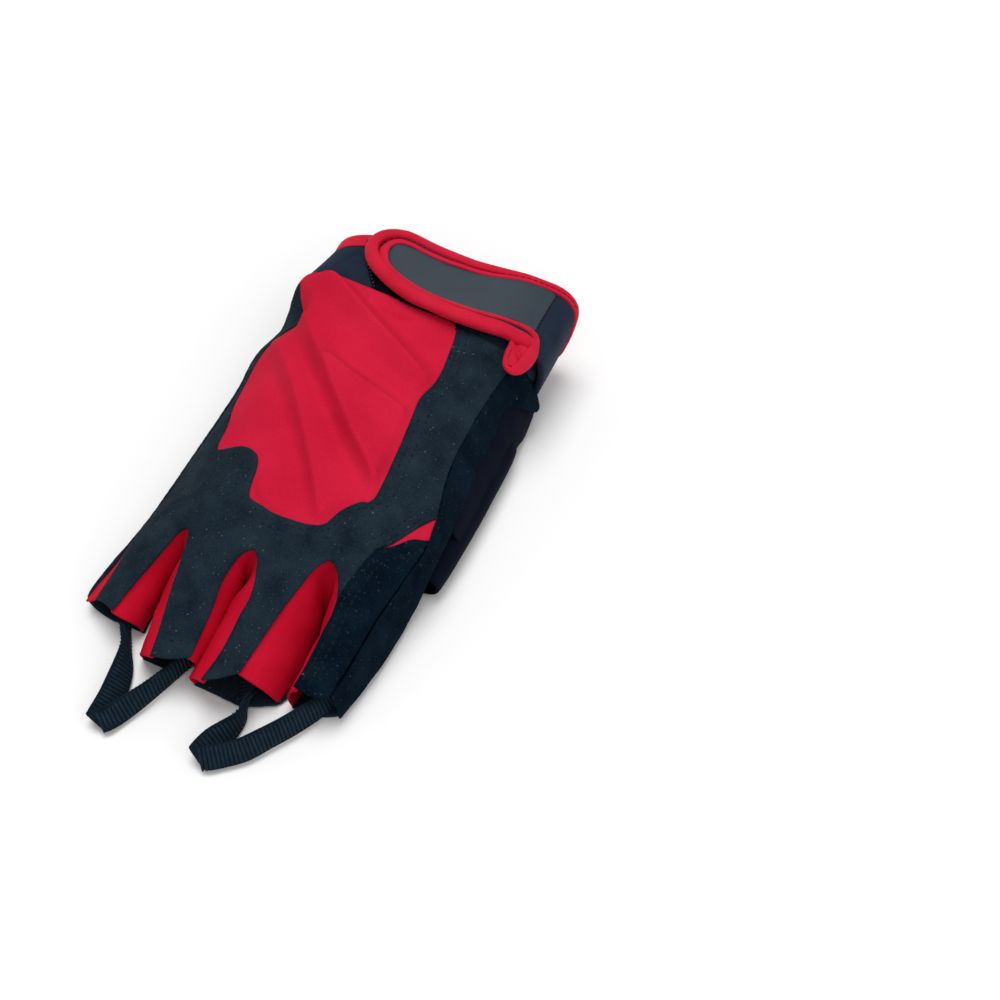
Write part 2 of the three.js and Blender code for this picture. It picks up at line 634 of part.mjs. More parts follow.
// Red stripe down the outer side of the little finger.
function pinkyGusset() {
  const ys = [-41, -48, -56, -64, -69];
  const top = ys.map((y) => {
    const x = fingers.pinky.left(y) + overlap;
    return [x, y, backHeight(x, y) - suede * 1.8 - gap];
  });
  const foot = ys.map((y) => {
    const x = palmLeft(y) + 1.6;
    return [x, y + 0.4, palmHeight(x, y) + suede * 1.6 + gap];
  });
  return ribbon(top, foot, 8, () => 0.2, stretch, () => [0.8, 0, -0.6]);
}

// Suede side wall on the thumb side, from the seam down to the palm or the thumb stall.
function sideWall() {
  const footX = column(sideFootRows, "y", "x");
  const footZ = column(sideFootRows, "y", "z");
  const ys = Array.from({ length: 18 }, (_, k) => mix(59.4, -75.4, k / 17));
  const top = ys.map((y) => [hand.right(y) + gap + suede, y, backHeight(hand.right(y), y) + 0.3]);
  const foot = ys.map((y) => [footX(y), y, footZ(y)]);
  const made = ribbon(top, foot, 24, () => 0.8, suede, () => [-1, 0, 0]);
  return made.subtract(prism(grow(palmOutline(), gap)).intersect(palmSlab()));
}

// The space that the palm sheet needs, used to keep its neighbours clear of it.
function palmSlab() {
  const surface = (px, py) => palmHeight(px, py) + suede + gap;
  return sheet(surface, suede + 2 * gap, palmCell, backBox);
}

// A point of a flattened closed curve: angle 0 on the thumb side, quarter turn on top.
function flatCurve(angle, { x, z, wide, high, power }) {
  const [c, s] = [Math.cos(angle), Math.sin(angle)];
  const bend = (v) => Math.sign(v) * Math.abs(v) ** (2 / power);
  return [x + wide * bend(c), z + high * bend(s)];
}

function thumbStall() {
  const part = Object.fromEntries(
    ["x", "halfWide", "halfHigh"].map((n) => [n, column(thumbRows, "y", n)]),
  );
  const [rows, cols] = [4, 14];
  const ring = (inset) => (i, j) => {
    const y = mix(47, -21.5, i / rows);
    const [x, z] = flatCurve((j / cols) * 2 * Math.PI, {
      x: part.x(y),
      z: part.halfHigh(y) + 0.2,
      wide: part.halfWide(y) - inset,
      high: part.halfHigh(y) - inset,
      power: 2.5,
    });
    return [x, y, z];
  };
  const tube = wall(rows, cols, ring(0), ring(suede + 0.2), true);
  const lid = wall(1, cols, (i, j) => endPoint(ring(0)(0, j), i), (i, j) => endPoint(ring(6)(0, j), i), true);
  const { x, y } = thumbHole;
  const way = prism([[x[0], y[0]], [x[1], y[0]], [x[1], y[1]], [x[0], y[1]]]);
  const upper = fromGeometry(new THREE.BoxGeometry(60, 80, 10).translate(36, 20, 12));
  return tube.add(lid).subtract(way.intersect(upper));
}

// A point carried past the closed root end of the thumb stall.
const endPoint = ([x, y, z], i) => [x, y + (i === 0 ? 1.4 : -0.4), z];

// Cuff: where its hand end runs, and its outer curve at a share t towards the open end.
const seamAcross = column(cuffSeamRows, "x", "y");
const cuffSeam = (x, z) => mix(cuffUnder, seamAcross(x), ease(4, 16, z));
function cuffPoint(angle, t, lift) {
  const side = (name) => mix(cuffHand[name], cuffOpen[name], t);
  const [left, right, high] = ["left", "right", "high"].map(side);
  const [x, z] = flatCurve(angle, {
    x: (left + right) / 2,
    z: high / 2 + cuffFloor,
    wide: (right - left) / 2 + lift,
    high: high / 2 + lift,
    power: cuffPower,
  });
  const lean = cuffLean.slope * Math.max(0, cuffLean.from - z) * ease(8, 46, x);
  return [x - lean, mix(cuffSeam(x, z), cuffTop, t), z];
}

function cuffTube(from, to, rows, cols, outer, inner) {
  const at = (lift) => (i, j) => {
    const angle = (j / cols) * 2 * Math.PI;
    const [x, y0, z] = cuffPoint(angle, clamp(mix(from, to, i / rows), 0, 1), lift);
    return [x, y0 + Math.max(0, mix(from, to, i / rows) - 1) * 28, z];
  };
  return wall(rows, cols, at(outer), at(inner), true);
}

const cuff = () => cuffTube(0, 1, 3, cuffCols, 0, -neoprene);

// Binding folded over the cuff's open end: a U-shaped section carried round the wrist.
function cuffBinding() {
  const [out, inn] = [0.9, -neoprene - 0.9];
  const section = [
    { along: 0.84, lift: out }, { along: 1.04, lift: out }, { along: 1.055, lift: -neoprene / 2 },
    { along: 1.04, lift: inn }, { along: 0.84, lift: inn }, { along: 0.84, lift: -neoprene - 0.25 },
    { along: 1.012, lift: -neoprene - 0.25 }, { along: 1.012, lift: 0.25 }, { along: 0.84, lift: 0.25 },
  ];
  return loopOf(section.length, cuffCols, (i, j) => {
    const { along, lift } = section[i];
    const [x, y, z] = cuffPoint((j / cuffCols) * 2 * Math.PI, Math.min(along, 1), lift);
    return [x, y + Math.max(0, along - 1) * 28, z];
  });
}

// A sheet that lies on the cuff: low and high above it, cut to a plan outline and,
// for the strap, led down the thumb side of the wrist.
const onTop = { from: Math.PI * 0.86, to: 0 };
function cuffSheet(low, high, from, to, yRange, cols) {
  const rows = 3;
  const at = (lift) => (i, j) => {
    const angle = mix(from, to, j / cols);
    const y = mix(...yRange, i / rows);
    const [x, , z] = cuffPoint(angle, clamp((y - 66) / (cuffTop - 66), 0, 1), lift);
    return [x, y, z];
  };
  return wall(rows, cols, at(high), at(low));
}

const strapOutline = () => [
  ...smoothLine([...strapLower, ...strapTip, ...strapUpper], 44).map(([x, y]) => [x, y]),
  [60, 88.8], [60, 60.4],
];
const innerOutline = () => {
  const lower = smoothLine(strapLower, 16);
  const upper = smoothLine(strapUpper, 12);
  const raised = lower.map(([x, y]) => [x + 1.4 * ease(10, -12, x), y + bindingWide.lower]);
  const lowered = upper.map(([x, y]) => [x + 2, y - bindingWide.upper]);
  const kept = raised.filter(([x]) => x > -13);
  return [...kept, [-14.4, 79.8], [-13.6, 83], ...lowered.filter(([x]) => x > -10), [60, 82.4], [60, 68.6]];
};

const strapAngles = { from: Math.PI * 0.8, to: -Math.PI * 0.09 };
const strapSlab = (low, high, past = 0) =>
  cuffSheet(low, high, strapAngles.from, strapAngles.to - past, [46, 94], 22);

function hookDisc(radius) {
  return prism(Array.from({ length: 14 }, (_, k) => {
    const a = (k / 14) * 2 * Math.PI;
    return [hookCentre[0] + radius * Math.cos(a), hookCentre[1] + radius * Math.sin(a)];
  }));
}

function strapCoreSheet() {
  const low = strapLift + 1.1;
  return strapSlab(low, low + strapCore).intersect(prism(grow(strapOutline(), -1.6)));
}

function strapBinding() {
  const ring = prism(strapOutline()).subtract(prism(innerOutline()));
  const onTopOnly = fromGeometry(new THREE.BoxGeometry(200, 200, 40).translate(0, 0, 47));
  const hook = hookDisc(hookRadius).intersect(onTopOnly);
  const edge = ring.add(hook).subtract(prism([[50.6, 40], [60, 40], [60, 83], [50.6, 83]]));
  const low = strapLift + 1.1 - gap;
  const room = strapSlab(low, low + strapCore + 2 * gap, 0.06)
    .intersect(prism(grow(strapOutline(), -1.6 + gap)));
  const body = strapSlab(strapLift, strapLift + bindingThick).intersect(edge).subtract(room);
  return body.decompose().sort((a, b) => b.volume() - a.volume())[0];
}

function strapPatch() {
  const low = strapLift + 1.1 + strapCore + gap;
  const cut = strapSlab(low, low + patchThick).intersect(prism(smoothLine(patchOutline, 36, true)))
    .subtract(prism(strapOutline()).subtract(prism(grow(innerOutline(), -gap))));
  return cut.decompose().sort((a, b) => b.volume() - a.volume())[0];
}

// Black loop-fabric patch on the cuff, under the strap.
function loopPatch() {
  const outline = [[-20, 67.4], [2, 64.6], [30, 63], [30, 84], [-20, 84]];
  return cuffSheet(gap, gap + 1, Math.PI * 0.8, Math.PI * 0.2, [60, 92], 20).intersect(prism(outline));
}

// Webbing swept along its path, turning from flat at the sewn ends to standing on edge.
function pullLoop(rows) {
  const steps = 40;
  const part = Object.fromEntries(["x", "y", "z", "turn"].map((n) => [
    n, column(rows.map((r, k) => ({ ...r, k })), "k", n),
  ]));
  const at = (i) => new THREE.Vector3(...["x", "y", "z"].map((n) => part[n](i)));
  const place = (i, j, depth) => {
    const k = (i / steps) * (rows.length - 1);
    const step = 0.02;
    const along = at(k + step).sub(at(k - step)).setZ(0).normalize();
    const across = new THREE.Vector3(-along.y, along.x, 0);
    const turn = THREE.MathUtils.degToRad(part.turn(k));
    const wide = across.clone().multiplyScalar(Math.cos(turn)).add(new THREE.Vector3(0, 0, Math.sin(turn)));
    const out = new THREE.Vector3().crossVectors(along, wide);
    return at(k)
      .addScaledVector(wide, (j - 0.5) * webbing.width)
      .addScaledVector(out, depth * webbing.thick)
      .toArray();
  };
  return wall(steps, 1, (i, j) => place(i, j, 0.5), (i, j) => place(i, j, -0.5));
}

// Finishes
const finish = (color, roughness) => new THREE.MeshStandardMaterial({ color, roughness, metalness: 0 });
const finishes = {
  blackSuede: finish(0x1d2329, 0.95),
  redStretch: finish(0xc8102e, 0.7),
  navyNeoprene: finish(0x1b2436, 0.85),
  redBinding: finish(0xcc1830, 0.75),
  greyRubber: finish(0x39444d, 0.55),
  blackLoop: finish(0x0c0d10, 1),
  blackWebbing: finish(0x15191e, 0.8),
};

const glove = new THREE.Group();
function add(name, made, material) {
  const mesh = new THREE.Mesh(toGeometry(made), material);
  mesh.name = name;
  glove.add(mesh);
}

add("back_panel", backPanel(), finishes.redStretch);
add("knuckle_frame", knuckleFrame(), finishes.blackSuede);
add("index_panel", indexPanel(), finishes.blackSuede);
add("index_gusset", indexGusset(), finishes.redStretch);
add("palm_panel", palmPanel(), finishes.blackSuede);
add("side_wall", sideWall(), finishes.blackSuede);
["gusset_pinky_ring", "gusset_ring_middle", "gusset_middle_index"].forEach((name, i) => {
  add(name, gusset(i), finishes.redStretch);
});
add("pinky_gusset", pinkyGusset(), finishes.redStretch);
add("thumb_stall", thumbStall(), finishes.navyNeoprene);
add("cuff", cuff(), finishes.navyNeoprene);
add("cuff_binding", cuffBinding(), finishes.redBinding);
add("loop_patch", loopPatch(), finishes.blackLoop);
add("strap_core", strapCoreSheet(), finishes.navyNeoprene);
add("strap_binding", strapBinding(), finishes.redBinding);
add("strap_patch", strapPatch(), finishes.greyRubber);
for (const [name, rows] of Object.entries(loopPaths)) add(name, pullLoop(rows), finishes.blackWebbing);

// The origin is the middle of the glove's footprint, on the surface it lies on.
const extent = new THREE.Box3().setFromObject(glove);
const middle = extent.getCenter(new THREE.Vector3());
glove.position.set(-middle.x, -middle.y, -extent.min.z);

export default glove;
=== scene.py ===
import math

import bpy
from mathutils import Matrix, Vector, geometry, kdtree, noise


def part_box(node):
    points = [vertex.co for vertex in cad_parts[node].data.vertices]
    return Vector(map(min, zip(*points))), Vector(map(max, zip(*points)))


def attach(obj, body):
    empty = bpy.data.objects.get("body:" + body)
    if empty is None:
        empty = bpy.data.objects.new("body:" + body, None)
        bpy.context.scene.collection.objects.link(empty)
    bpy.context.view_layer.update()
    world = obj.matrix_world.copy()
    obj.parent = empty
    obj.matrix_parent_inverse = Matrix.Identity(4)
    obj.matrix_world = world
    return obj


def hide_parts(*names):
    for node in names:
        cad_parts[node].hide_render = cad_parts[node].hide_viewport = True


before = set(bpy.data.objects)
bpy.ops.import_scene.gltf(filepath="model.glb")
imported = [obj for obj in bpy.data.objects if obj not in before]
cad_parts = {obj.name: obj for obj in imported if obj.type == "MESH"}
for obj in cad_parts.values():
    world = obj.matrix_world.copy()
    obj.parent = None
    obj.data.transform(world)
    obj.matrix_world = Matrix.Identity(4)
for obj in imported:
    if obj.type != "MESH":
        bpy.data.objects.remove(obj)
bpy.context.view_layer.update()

# The tables below are in millimetres, in the glove's own plan: fingers to -Y, thumb side to +X.
mm = 0.001
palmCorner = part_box("palm_panel")[0] / mm
zeroFromPalm = (55.2, 82.6)  # from the palm's lowest corner to the plan's zero
tableZero = Vector((palmCorner.x + zeroFromPalm[0], palmCorner.y + zeroFromPalm[1], 0))


def mix(a, b, t):
    return a + (b - a) * t


def clamp(v, low, high):
    return max(low, min(high, v))


def ease(start, end, v):
    t = clamp((v - start) / (end - start), 0, 1)
    return t * t * (3 - 2 * t)


def bell(d, half):
    return math.exp(-((d / half) ** 2))


# A table's columns as smooth functions of its first column.
def table(names, rows):
    names = names.split()
    rows = sorted(rows)
    keys = [r[0] for r in rows]

    def make(k):
        vals = [r[k] for r in rows]

        def value(v):
            v = clamp(v, keys[0], keys[-1])
            i = 0
            while i < len(keys) - 2 and v > keys[i + 1]:
                i += 1
            span = keys[i + 1] - keys[i]
            t = (v - keys[i]) / span
            a, b = max(i - 1, 0), min(i + 2, len(keys) - 1)
            m1 = (vals[i + 1] - vals[a]) / (keys[i + 1] - keys[a]) * span
            m2 = (vals[b] - vals[i]) / (keys[b] - keys[i]) * span
            t2, t3 = t * t, t * t * t
            return ((2 * t3 - 3 * t2 + 1) * vals[i] + (t3 - 2 * t2 + t) * m1
                    + (3 * t2 - 2 * t3) * vals[i + 1] + (t3 - t2) * m2)

        return value

    return {n: make(k + 1) for k, n in enumerate(names[1:])}


# The glove's form: the same sections as the solids have

cloth = {"suede": 1.2, "stretch": 1.0, "neoprene": 2.2}

hand = table("y left right edge crown seam", [
    (74, -45, 43, 15, 37, 32),
    (58, -45.5, 42, 13, 36.6, 31.4),
    (42, -49.5, 40, 12, 36, 31),
    (25, -48, 39, 12, 35.5, 29.5),
    (8, -48, 39.5, 11.5, 34.5, 28),
    (-8, -48.5, 42.5, 11, 33.5, 25.5),
    (-20, -48.5, 43.5, 11, 33, 23),
    (-34, -48.5, 41.5, 12, 31.5, 20.5),
    (-46, -48.5, 39.5, 13, 29, 18),
    (-62, -49, 38, 11.5, 23, 15),
    (-78, -50, 36.3, 9.5, 16, 12),
    (-92, -50.5, 35.5, 8, 13, 10),
])
fingers = {
    "pinky": table("y left leftZ right rightZ", [
        (-44, -48.5, 14, -30.5, 26.5), (-54, -48.7, 13, -33.5, 22.5),
        (-64, -49.2, 11.5, -37, 18.5), (-74.2, -49.8, 9.5, -40.3, 14)]),
    "ring": table("y left leftZ right rightZ", [
        (-46, -27, 27.5, -6.5, 29), (-55, -25.1, 25, -8.8, 25.5), (-65, -24, 21, -8.4, 21),
        (-75, -22.4, 17.5, -8.2, 18), (-86, -21.2, 13.8, -8, 14.5)]),
    "middle": table("y left leftZ right rightZ", [
        (-45, -2.5, 29.5, 16.5, 28.3), (-56, 1, 25.3, 13.3, 24.3), (-66, 0.4, 21.5, 11.3, 21),
        (-76, -0.5, 17.5, 9.3, 17.8), (-87, -3.2, 13.7, 7.5, 14.5)]),
    "index": table("y left leftZ right rightZ", [
        (-42, 23.5, 29, 40.3, 19), (-50, 27.2, 25, 39.2, 17.2), (-60, 26.7, 21, 38.1, 15.2),
        (-70, 26.2, 17.8, 37, 13.4), (-79, 24.5, 13.8, 36.2, 11.8)]),
}
order = ["pinky", "ring", "middle", "index"]
fingerCrown = 1.6
fingerEnds = {
    "pinky": [(-49.7, -70.1), (-40.4, -74.2)],
    "ring": [(-21.3, -84.4), (-14.5, -84.2), (-8, -81)],
    "middle": [(-3.1, -85.8), (3, -84.6), (8.6, -80.4)],
    "index": [(24.7, -77.4), (31, -78.4), (36.3, -76.6)],
}
rootY = {"pinky": -50, "ring": -51, "middle": -50, "index": -47}
crotches = [(-28.6, -43.6), (-4.3, -44.6), (20, -38.8)]

redOutline = [
    (-42.5, 66.2), (-33, 68.4), (-17.7, 65.8), (4.5, 63), (18.8, 61),
    (21.8, 48.7), (22.4, 37), (20.7, 28.4), (21.6, 18), (22.7, 6), (23.5, -12.9),
    (19.8, -17), (16.2, -22.2), (12, -29.8), (-1, -31.8), (-9.5, -30.2), (-14.2, -28.6),
    (-16.2, -24), (-17.3, -18.3), (-19.2, -13.4), (-22, -11), (-26.5, -9.7), (-36.8, -10),
    (-39.8, 1.5), (-42.7, 9.8), (-45, 17), (-47.2, 31.8), (-46.6, 41), (-42.2, 47.6),
    (-37.4, 49.6), (-37, 53.6), (-41, 60),
]
crescentOutline = [
    (43.4, -7.8), (40, -12.4), (37.2, -17.9), (34, -24.3), (30.2, -29.4),
    (33.2, -26.5), (36.6, -22.7), (39.4, -19.2), (44, -15.6),
]
indexEdge = [
    (44.6, -15.4), (39.8, -18.2), (36.8, -21.6), (31, -28.3), (28.6, -36), (27.6, -44), (27.3, -50),
]

# Folds of the red panel: a line and its bow, its height, and how fast it falls off on either side
folds = [
    {"a": (-38.4, 55), "b": (24, -10.4), "bow": -1.9, "height": 5.6, "left": 9, "right": 2.2},
    {"a": (-31, 65.9), "b": (21, 35.2), "bow": -0.6, "height": 5.4, "left": 3.2, "right": 6.5},
    {"a": (-6, 35.6), "b": (21, 26.6), "bow": 0, "height": 1.2, "left": 1.6, "right": 3},
    {"a": (-14, 29), "b": (24, 19.4), "bow": 0, "height": 3.4, "left": 2.4, "right": 4.8},
    {"a": (-40, 38.4), "b": (12.6, -30), "bow": 2.1, "height": 4.0, "left": 8, "right": 1.9},
    {"a": (-16, -20.5), "b": (-3, -33), "bow": 0, "height": 1.1, "left": 3, "right": 1.3},
    {"a": (-2, 11), "b": (20, -5), "bow": 0, "height": 0.9, "left": 4, "right": 1.8},
]
puff = {"x": -35, "y": 61, "wide": 9, "height": 1.6}
foldForm = {"border": (1.0, 4.5), "atBorder": 0.05, "crest": 1.35, "pit": 0.22, "pitAt": 2.2, "pitWide": 1.3,
            "starts": (-0.14, 0.06), "ends": (1.15, 0.8), "taper": 0.3}
palmRise = {"wide": 8, "power": 2.2, "thumbHigh": 14.3}

palmEdge = table("y left rise", [
    (66, -45, 13), (58, -45.5, 12.6), (42, -49.5, 11.6), (25, -48, 11.6), (-8, -48.5, 10.6),
    (-34, -48.6, 11), (-44, -50.2, 9.6), (-54, -53, 7), (-68, -55.5, 4.6), (-80, -56, 4.6)])
palmRight = [
    (43.6, 63), (44, 50), (43.8, 45), (43.8, 40), (43.6, 10), (44.2, -10), (43.8, -22),
    (42.6, -30), (42.2, -40), (41.6, -52), (39.6, -66), (38.2, -73.6),
]
palmEnds = [
    [(30, -77.2), (22.4, -76.6)],
    [(18.9, -77.2), (14.5, -79.8), (8.6, -82.6), (-2.6, -81.7), (-9.6, -81.2)],
    [(-12.9, -75.8), (-21, -79.6), (-29.4, -79)],
    [(-33, -70.3), (-45, -69.9), (-55.2, -68)],
]
palmSlots = [
    {"root": -48, "x": (-31.8, -32.4, -31.2), "half": 1.3},
    {"root": -49, "x": (-10.6, -10.8, -11.4), "half": 1.3},
    {"root": -45, "x": (20.2, 22.2, 21.4), "half": 1.1},
]
palmWrist = 63.6
thumbHole = {"x": (27, 41), "y": (12, 38)}


# Across the hand the back peaks at a share of its width, and over the roots it becomes the fingers
backForm = {"peak": 0.52, "leftPower": 3, "rightPower": 2.6, "fingersFrom": -36, "fingersTo": -52}


def archHeight(x, y):
    peak = backForm["peak"]
    left, right = hand["left"](y), hand["right"](y)
    u = clamp((x - left) / (right - left), 0, 1)
    if u < peak:
        foot, rise = hand["edge"](y), (1 - u / peak) ** backForm["leftPower"]
    else:
        foot, rise = hand["seam"](y), ((u - peak) / (1 - peak)) ** backForm["rightPower"]
    return foot + (hand["crown"](y) - foot) * (1 - rise)


def fingerHeight(x, y):
    best = None
    for f in fingers.values():
        left, right = f["left"](y), f["right"](y)
        away = max(left - x, x - right, 0)
        if best is None or away < best[0]:
            best = (away, f, left, right)
    _, f, left, right = best
    v = clamp((x - left) / (right - left), 0, 1)
    return mix(f["leftZ"](y), f["rightZ"](y), v) + fingerCrown * 4 * v * (1 - v)


def backHeight(x, y):
    toFinger = ease(backForm["fingersFrom"], backForm["fingersTo"], y)
    arch = archHeight(x, y) if toFinger < 1 else 0
    return mix(arch, fingerHeight(x, y), toFinger) if toFinger else arch


def foldHeight(x, y):
    border = ease(*foldForm["border"], redEdge.find((x, y, 0))[2])
    fade = ease(-46.5, -41, x) * ease(68.6, 65, y) * mix(foldForm["atBorder"], 1, border)
    h = puff["height"] * bell(math.hypot(x - puff["x"], y - puff["y"]), puff["wide"])
    for f in folds:
        (ax, ay), (bx, by) = f["a"], f["b"]
        dx, dy = bx - ax, by - ay
        long = math.hypot(dx, dy)
        t = ((x - ax) * dx + (y - ay) * dy) / (long * long)
        side = (dx * (y - ay) - dy * (x - ax)) / long - f["bow"] * 4 * t * (1 - t)
        half = f["left"] if side > 0 else f["right"]
        ends = ease(*foldForm["starts"], t) * ease(*foldForm["ends"], t)
        pit = 0
        if side * (f["left"] - f["right"]) < 0:  # a shallow pit beside the steep side
            away = side + math.copysign(half * foldForm["pitAt"], -side)
            pit = foldForm["pit"] * bell(away, half * foldForm["pitWide"])
        ridge = math.exp(-((abs(side) / half) ** foldForm["crest"]))  # a crisper crest than a bell has
        h += f["height"] * ends * (ridge - pit) * (1 - foldForm["taper"] * clamp(t, 0, 1))
    return fade * h


def palmHeight(x, y):
    across = clamp(1 - (x - palmEdge["left"](y)) / palmRise["wide"], 0, 1)
    turned = palmEdge["rise"](y) * across ** palmRise["power"]
    raised = palmRise["thumbHigh"] * ease(14, 22, x) * ease(-35, -24, y) * ease(58, 49.5, y)
    return max(turned, raised)


# Outlines

def smoothLine(points, spacing, closed=False):
    pts = [Vector(p) if len(p) > 3 else Vector(p).to_3d() for p in points]
    n = len(pts)
    line = []
    for i in range(n if closed else n - 1):
        p0 = pts[(i - 1) % n] if closed or i else pts[0]
        p1, p2 = pts[i], pts[(i + 1) % n]
        p3 = pts[(i + 2) % n] if closed or i + 2 < n else pts[-1]
        steps = max(1, round((p2 - p1).length / spacing))
        for s in range(steps):
            t = s / steps
            line.append(0.5 * ((2 * p1) + (p2 - p0) * t + (2 * p0 - 5 * p1 + 4 * p2 - p3) * t * t
                               + (3 * p1 - p0 - 3 * p2 + p3) * t ** 3))
    if not closed:
        line.append(pts[-1])
    return line


def straightLine(points, spacing, closed=True):
    line = []
    ends = points[1:] + points[:1] if closed else points[1:]
    for p, q in zip(points, ends):
        p, q = Vector(p).to_3d(), Vector(q).to_3d()
        steps = max(1, round((q - p).length / spacing))
        line += [p.lerp(q, s / steps) for s in range(steps)]
    return line if closed else line + [Vector(points[-1]).to_3d()]


# Points spread evenly along a line, ends kept.
def evenLine(line, count):
    total = [0.0]
    for p, q in zip(line, line[1:]):
        total.append(total[-1] + (q - p).length)
    out, k = [], 0
    for i in range(count + 1):
        at = total[-1] * i / count
        while k < len(line) - 2 and total[k + 1] < at:
            k += 1
        span = total[k + 1] - total[k]
        out.append(line[k].lerp(line[k + 1], (at - total[k]) / span if span else 0))
    return out


def grow(line, by):
    n = len(line)
    area = sum(line[i].x * line[(i + 1) % n].y - line[(i + 1) % n].x * line[i].y for i in range(n))
    turn = by if area > 0 else -by
    out = []
    for i, p in enumerate(line):
        d = (line[(i + 1) % n] - line[i - 1]).to_2d()
        d = d.normalized() if d.length else Vector((1, 0))
        out.append(Vector((p.x + d.y * turn, p.y - d.x * turn, 0)))
    return out


def inside(line, x, y):
    hit = False
    n = len(line)
    for i in range(n):
        p, q = line[i], line[(i + 1) % n]
        if (p.y > y) != (q.y > y) and x < (q.x - p.x) * (y - p.y) / (q.y - p.y) + p.x:
            hit = not hit
    return hit


def stripEdge(name, side, fromY, toY, steps):
    f = fingers[name]
    return [(f[side](y), y) for y in (mix(fromY, toY, i / steps) for i in range(steps + 1))]


def gapEdge(i):
    left, right = order[i], order[i + 1]
    up = stripEdge(left, "right", rootY[left], fingerEnds[left][-1][1], 5)[::-1]
    down = stripEdge(right, "left", rootY[right], fingerEnds[right][0][1], 5)
    cx, cy = crotches[i]

    def shoulder(p):
        return (mix(cx, p[0], 0.55), mix(cy, p[1], 0.3))

    return up + [shoulder(up[-1]), (cx, cy), shoulder(down[0])] + down


def backOutline(spacing):
    leftSide = [(hand["left"](y), y) for y in range(66, -66, -6)]
    rightSide = [(hand["right"](y), y) for y in range(-70, 60, 6)]
    line = smoothLine(leftSide + [fingerEnds["pinky"][0]], spacing)
    line += straightLine(fingerEnds["pinky"], spacing, False)[1:-1]
    for i in range(3):
        line += smoothLine(gapEdge(i), spacing)
        line += smoothLine(fingerEnds[order[i + 1]], spacing)[1:-1]
    line += smoothLine([fingerEnds["index"][-1]] + rightSide, spacing)
    line += straightLine([(42, 59.6), (19, 60.6), (17, 57), (-10, 60), (-36, 64)], spacing, False)
    return line


def slotEdge(slot):
    curve = smoothLine([(slot["x"][0], slot["root"]), (slot["x"][1], -60), (slot["x"][2], -86)], 1)

    def at(y):
        return min(curve, key=lambda p: abs(p.y - y)).x

    depths = [slot["root"] + d for d in (-1, -8, -18, -27)]
    sides = [[(at(y) + s * slot["half"], y) for y in depths] for s in (1, -1)]
    return sides[0][::-1], [(at(slot["root"]), slot["root"] + 0.6)], sides[1]


def palmOutline(spacing):
    line = smoothLine(palmRight, spacing)
    for end, after, slot in zip(palmEnds, palmEnds[1:], palmSlots[::-1]):
        line += straightLine(end, spacing, False)
        low = max(end[-1][1], after[0][1]) + 1.5
        right, top, left = slotEdge(slot)
        slotLine = [p for p in right if p[1] > low] + top + [p for p in left if p[1] > low]
        line += straightLine([end[-1]] + slotLine + [after[0]], spacing, False)[1:-1]
    line += straightLine(palmEnds[-1], spacing, False)
    line += smoothLine([(palmEdge["left"](y), y) for y in range(-62, 63, 5)], spacing)
    wrist = [(palmEdge["left"](palmWrist), palmWrist), (20, palmWrist - 0.6), palmRight[0]]
    line += straightLine(wrist, spacing, False)[:-1]
    return line


# Mesh helpers

def place(p):
    return (Vector(p) + tableZero) * mm


def newPiece(name, points, faces, material):
    mesh = bpy.data.meshes.new(name)
    mesh.from_pydata([place(p) for p in points], [], faces)
    mesh.validate()
    piece = bpy.data.objects.new(name, mesh)
    bpy.context.collection.objects.link(piece)
    mesh.materials.append(material)
    mesh.shade_smooth()
    return piece


# Applies a piece's modifiers, so that what is kept is a plain mesh.
def settle(piece):
    graph = bpy.context.evaluated_depsgraph_get()
    graph.update()
    mesh = bpy.data.meshes.new_from_object(piece.evaluated_get(graph), depsgraph=graph)
    piece.modifiers.clear()
    old = piece.data
    piece.data = mesh
    mesh.name = piece.name
    bpy.data.meshes.remove(old)
    mesh.shade_smooth()
    return piece


def soften(piece, levels=1):
    soft = piece.modifiers.new("soft", "SUBSURF")
    soft.levels = soft.render_levels = levels
    return settle(piece)


def treeOf(points):
    tree = kdtree.KDTree(len(points))
    for i, p in enumerate(points):
        tree.insert(p, i)
    tree.balance()
    return tree


# A sheet within some outlines in plan and without others, lifted to a surface and given a thickness.
def cutSheet(name, within, without, spacing, surface, thick, material, levels=1):
    def keep(x, y):
        return all(inside(line, x, y) for line in within) and not any(inside(line, x, y) for line in without)

    points, edges = [], []
    for loop in within + without:
        first = len(points)
        points += [p.to_2d() for p in loop]
        n = len(loop)
        edges += [(first + i, first + (i + 1) % n) for i in range(n)]
    tree = treeOf([p.to_3d() for p in points])
    low = Vector((min(p.x for p in points), min(p.y for p in points)))
    high = Vector((max(p.x for p in points), max(p.y for p in points)))
    step = spacing * 0.866  # rows of equal triangles
    for row in range(int((high.y - low.y) / step) + 1):
        y = low.y + row * step
        x = low.x + (row % 2) * spacing / 2
        while x < high.x:
            if keep(x, y) and tree.find((x, y, 0))[2] > spacing * 0.62:  # clear of the cut edges
                points.append(Vector((x, y)))
            x += spacing
    flat, _, faces, *_ = geometry.delaunay_2d_cdt(points, edges, [], 0, 1e-4)
    kept = []
    for f in faces:
        c = sum((flat[i] for i in f), Vector((0, 0))) / len(f)
        if keep(c.x, c.y):
            kept.append(list(f))
    used = sorted({i for f in kept for i in f})
    index = {v: k for k, v in enumerate(used)}
    verts = [(flat[v].x, flat[v].y, surface(flat[v].x, flat[v].y)) for v in used]
    piece = newPiece(name, verts, [[index[i] for i in f] for f in kept], material)
    if piece.data.polygons[0].normal.z < 0:
        piece.data.flip_normals()
    wall = piece.modifiers.new("wall", "SOLIDIFY")
    wall.thickness = thick * mm
    wall.offset = -1
    wall.use_even_offset = False
    return soften(piece, levels) if levels else settle(piece)


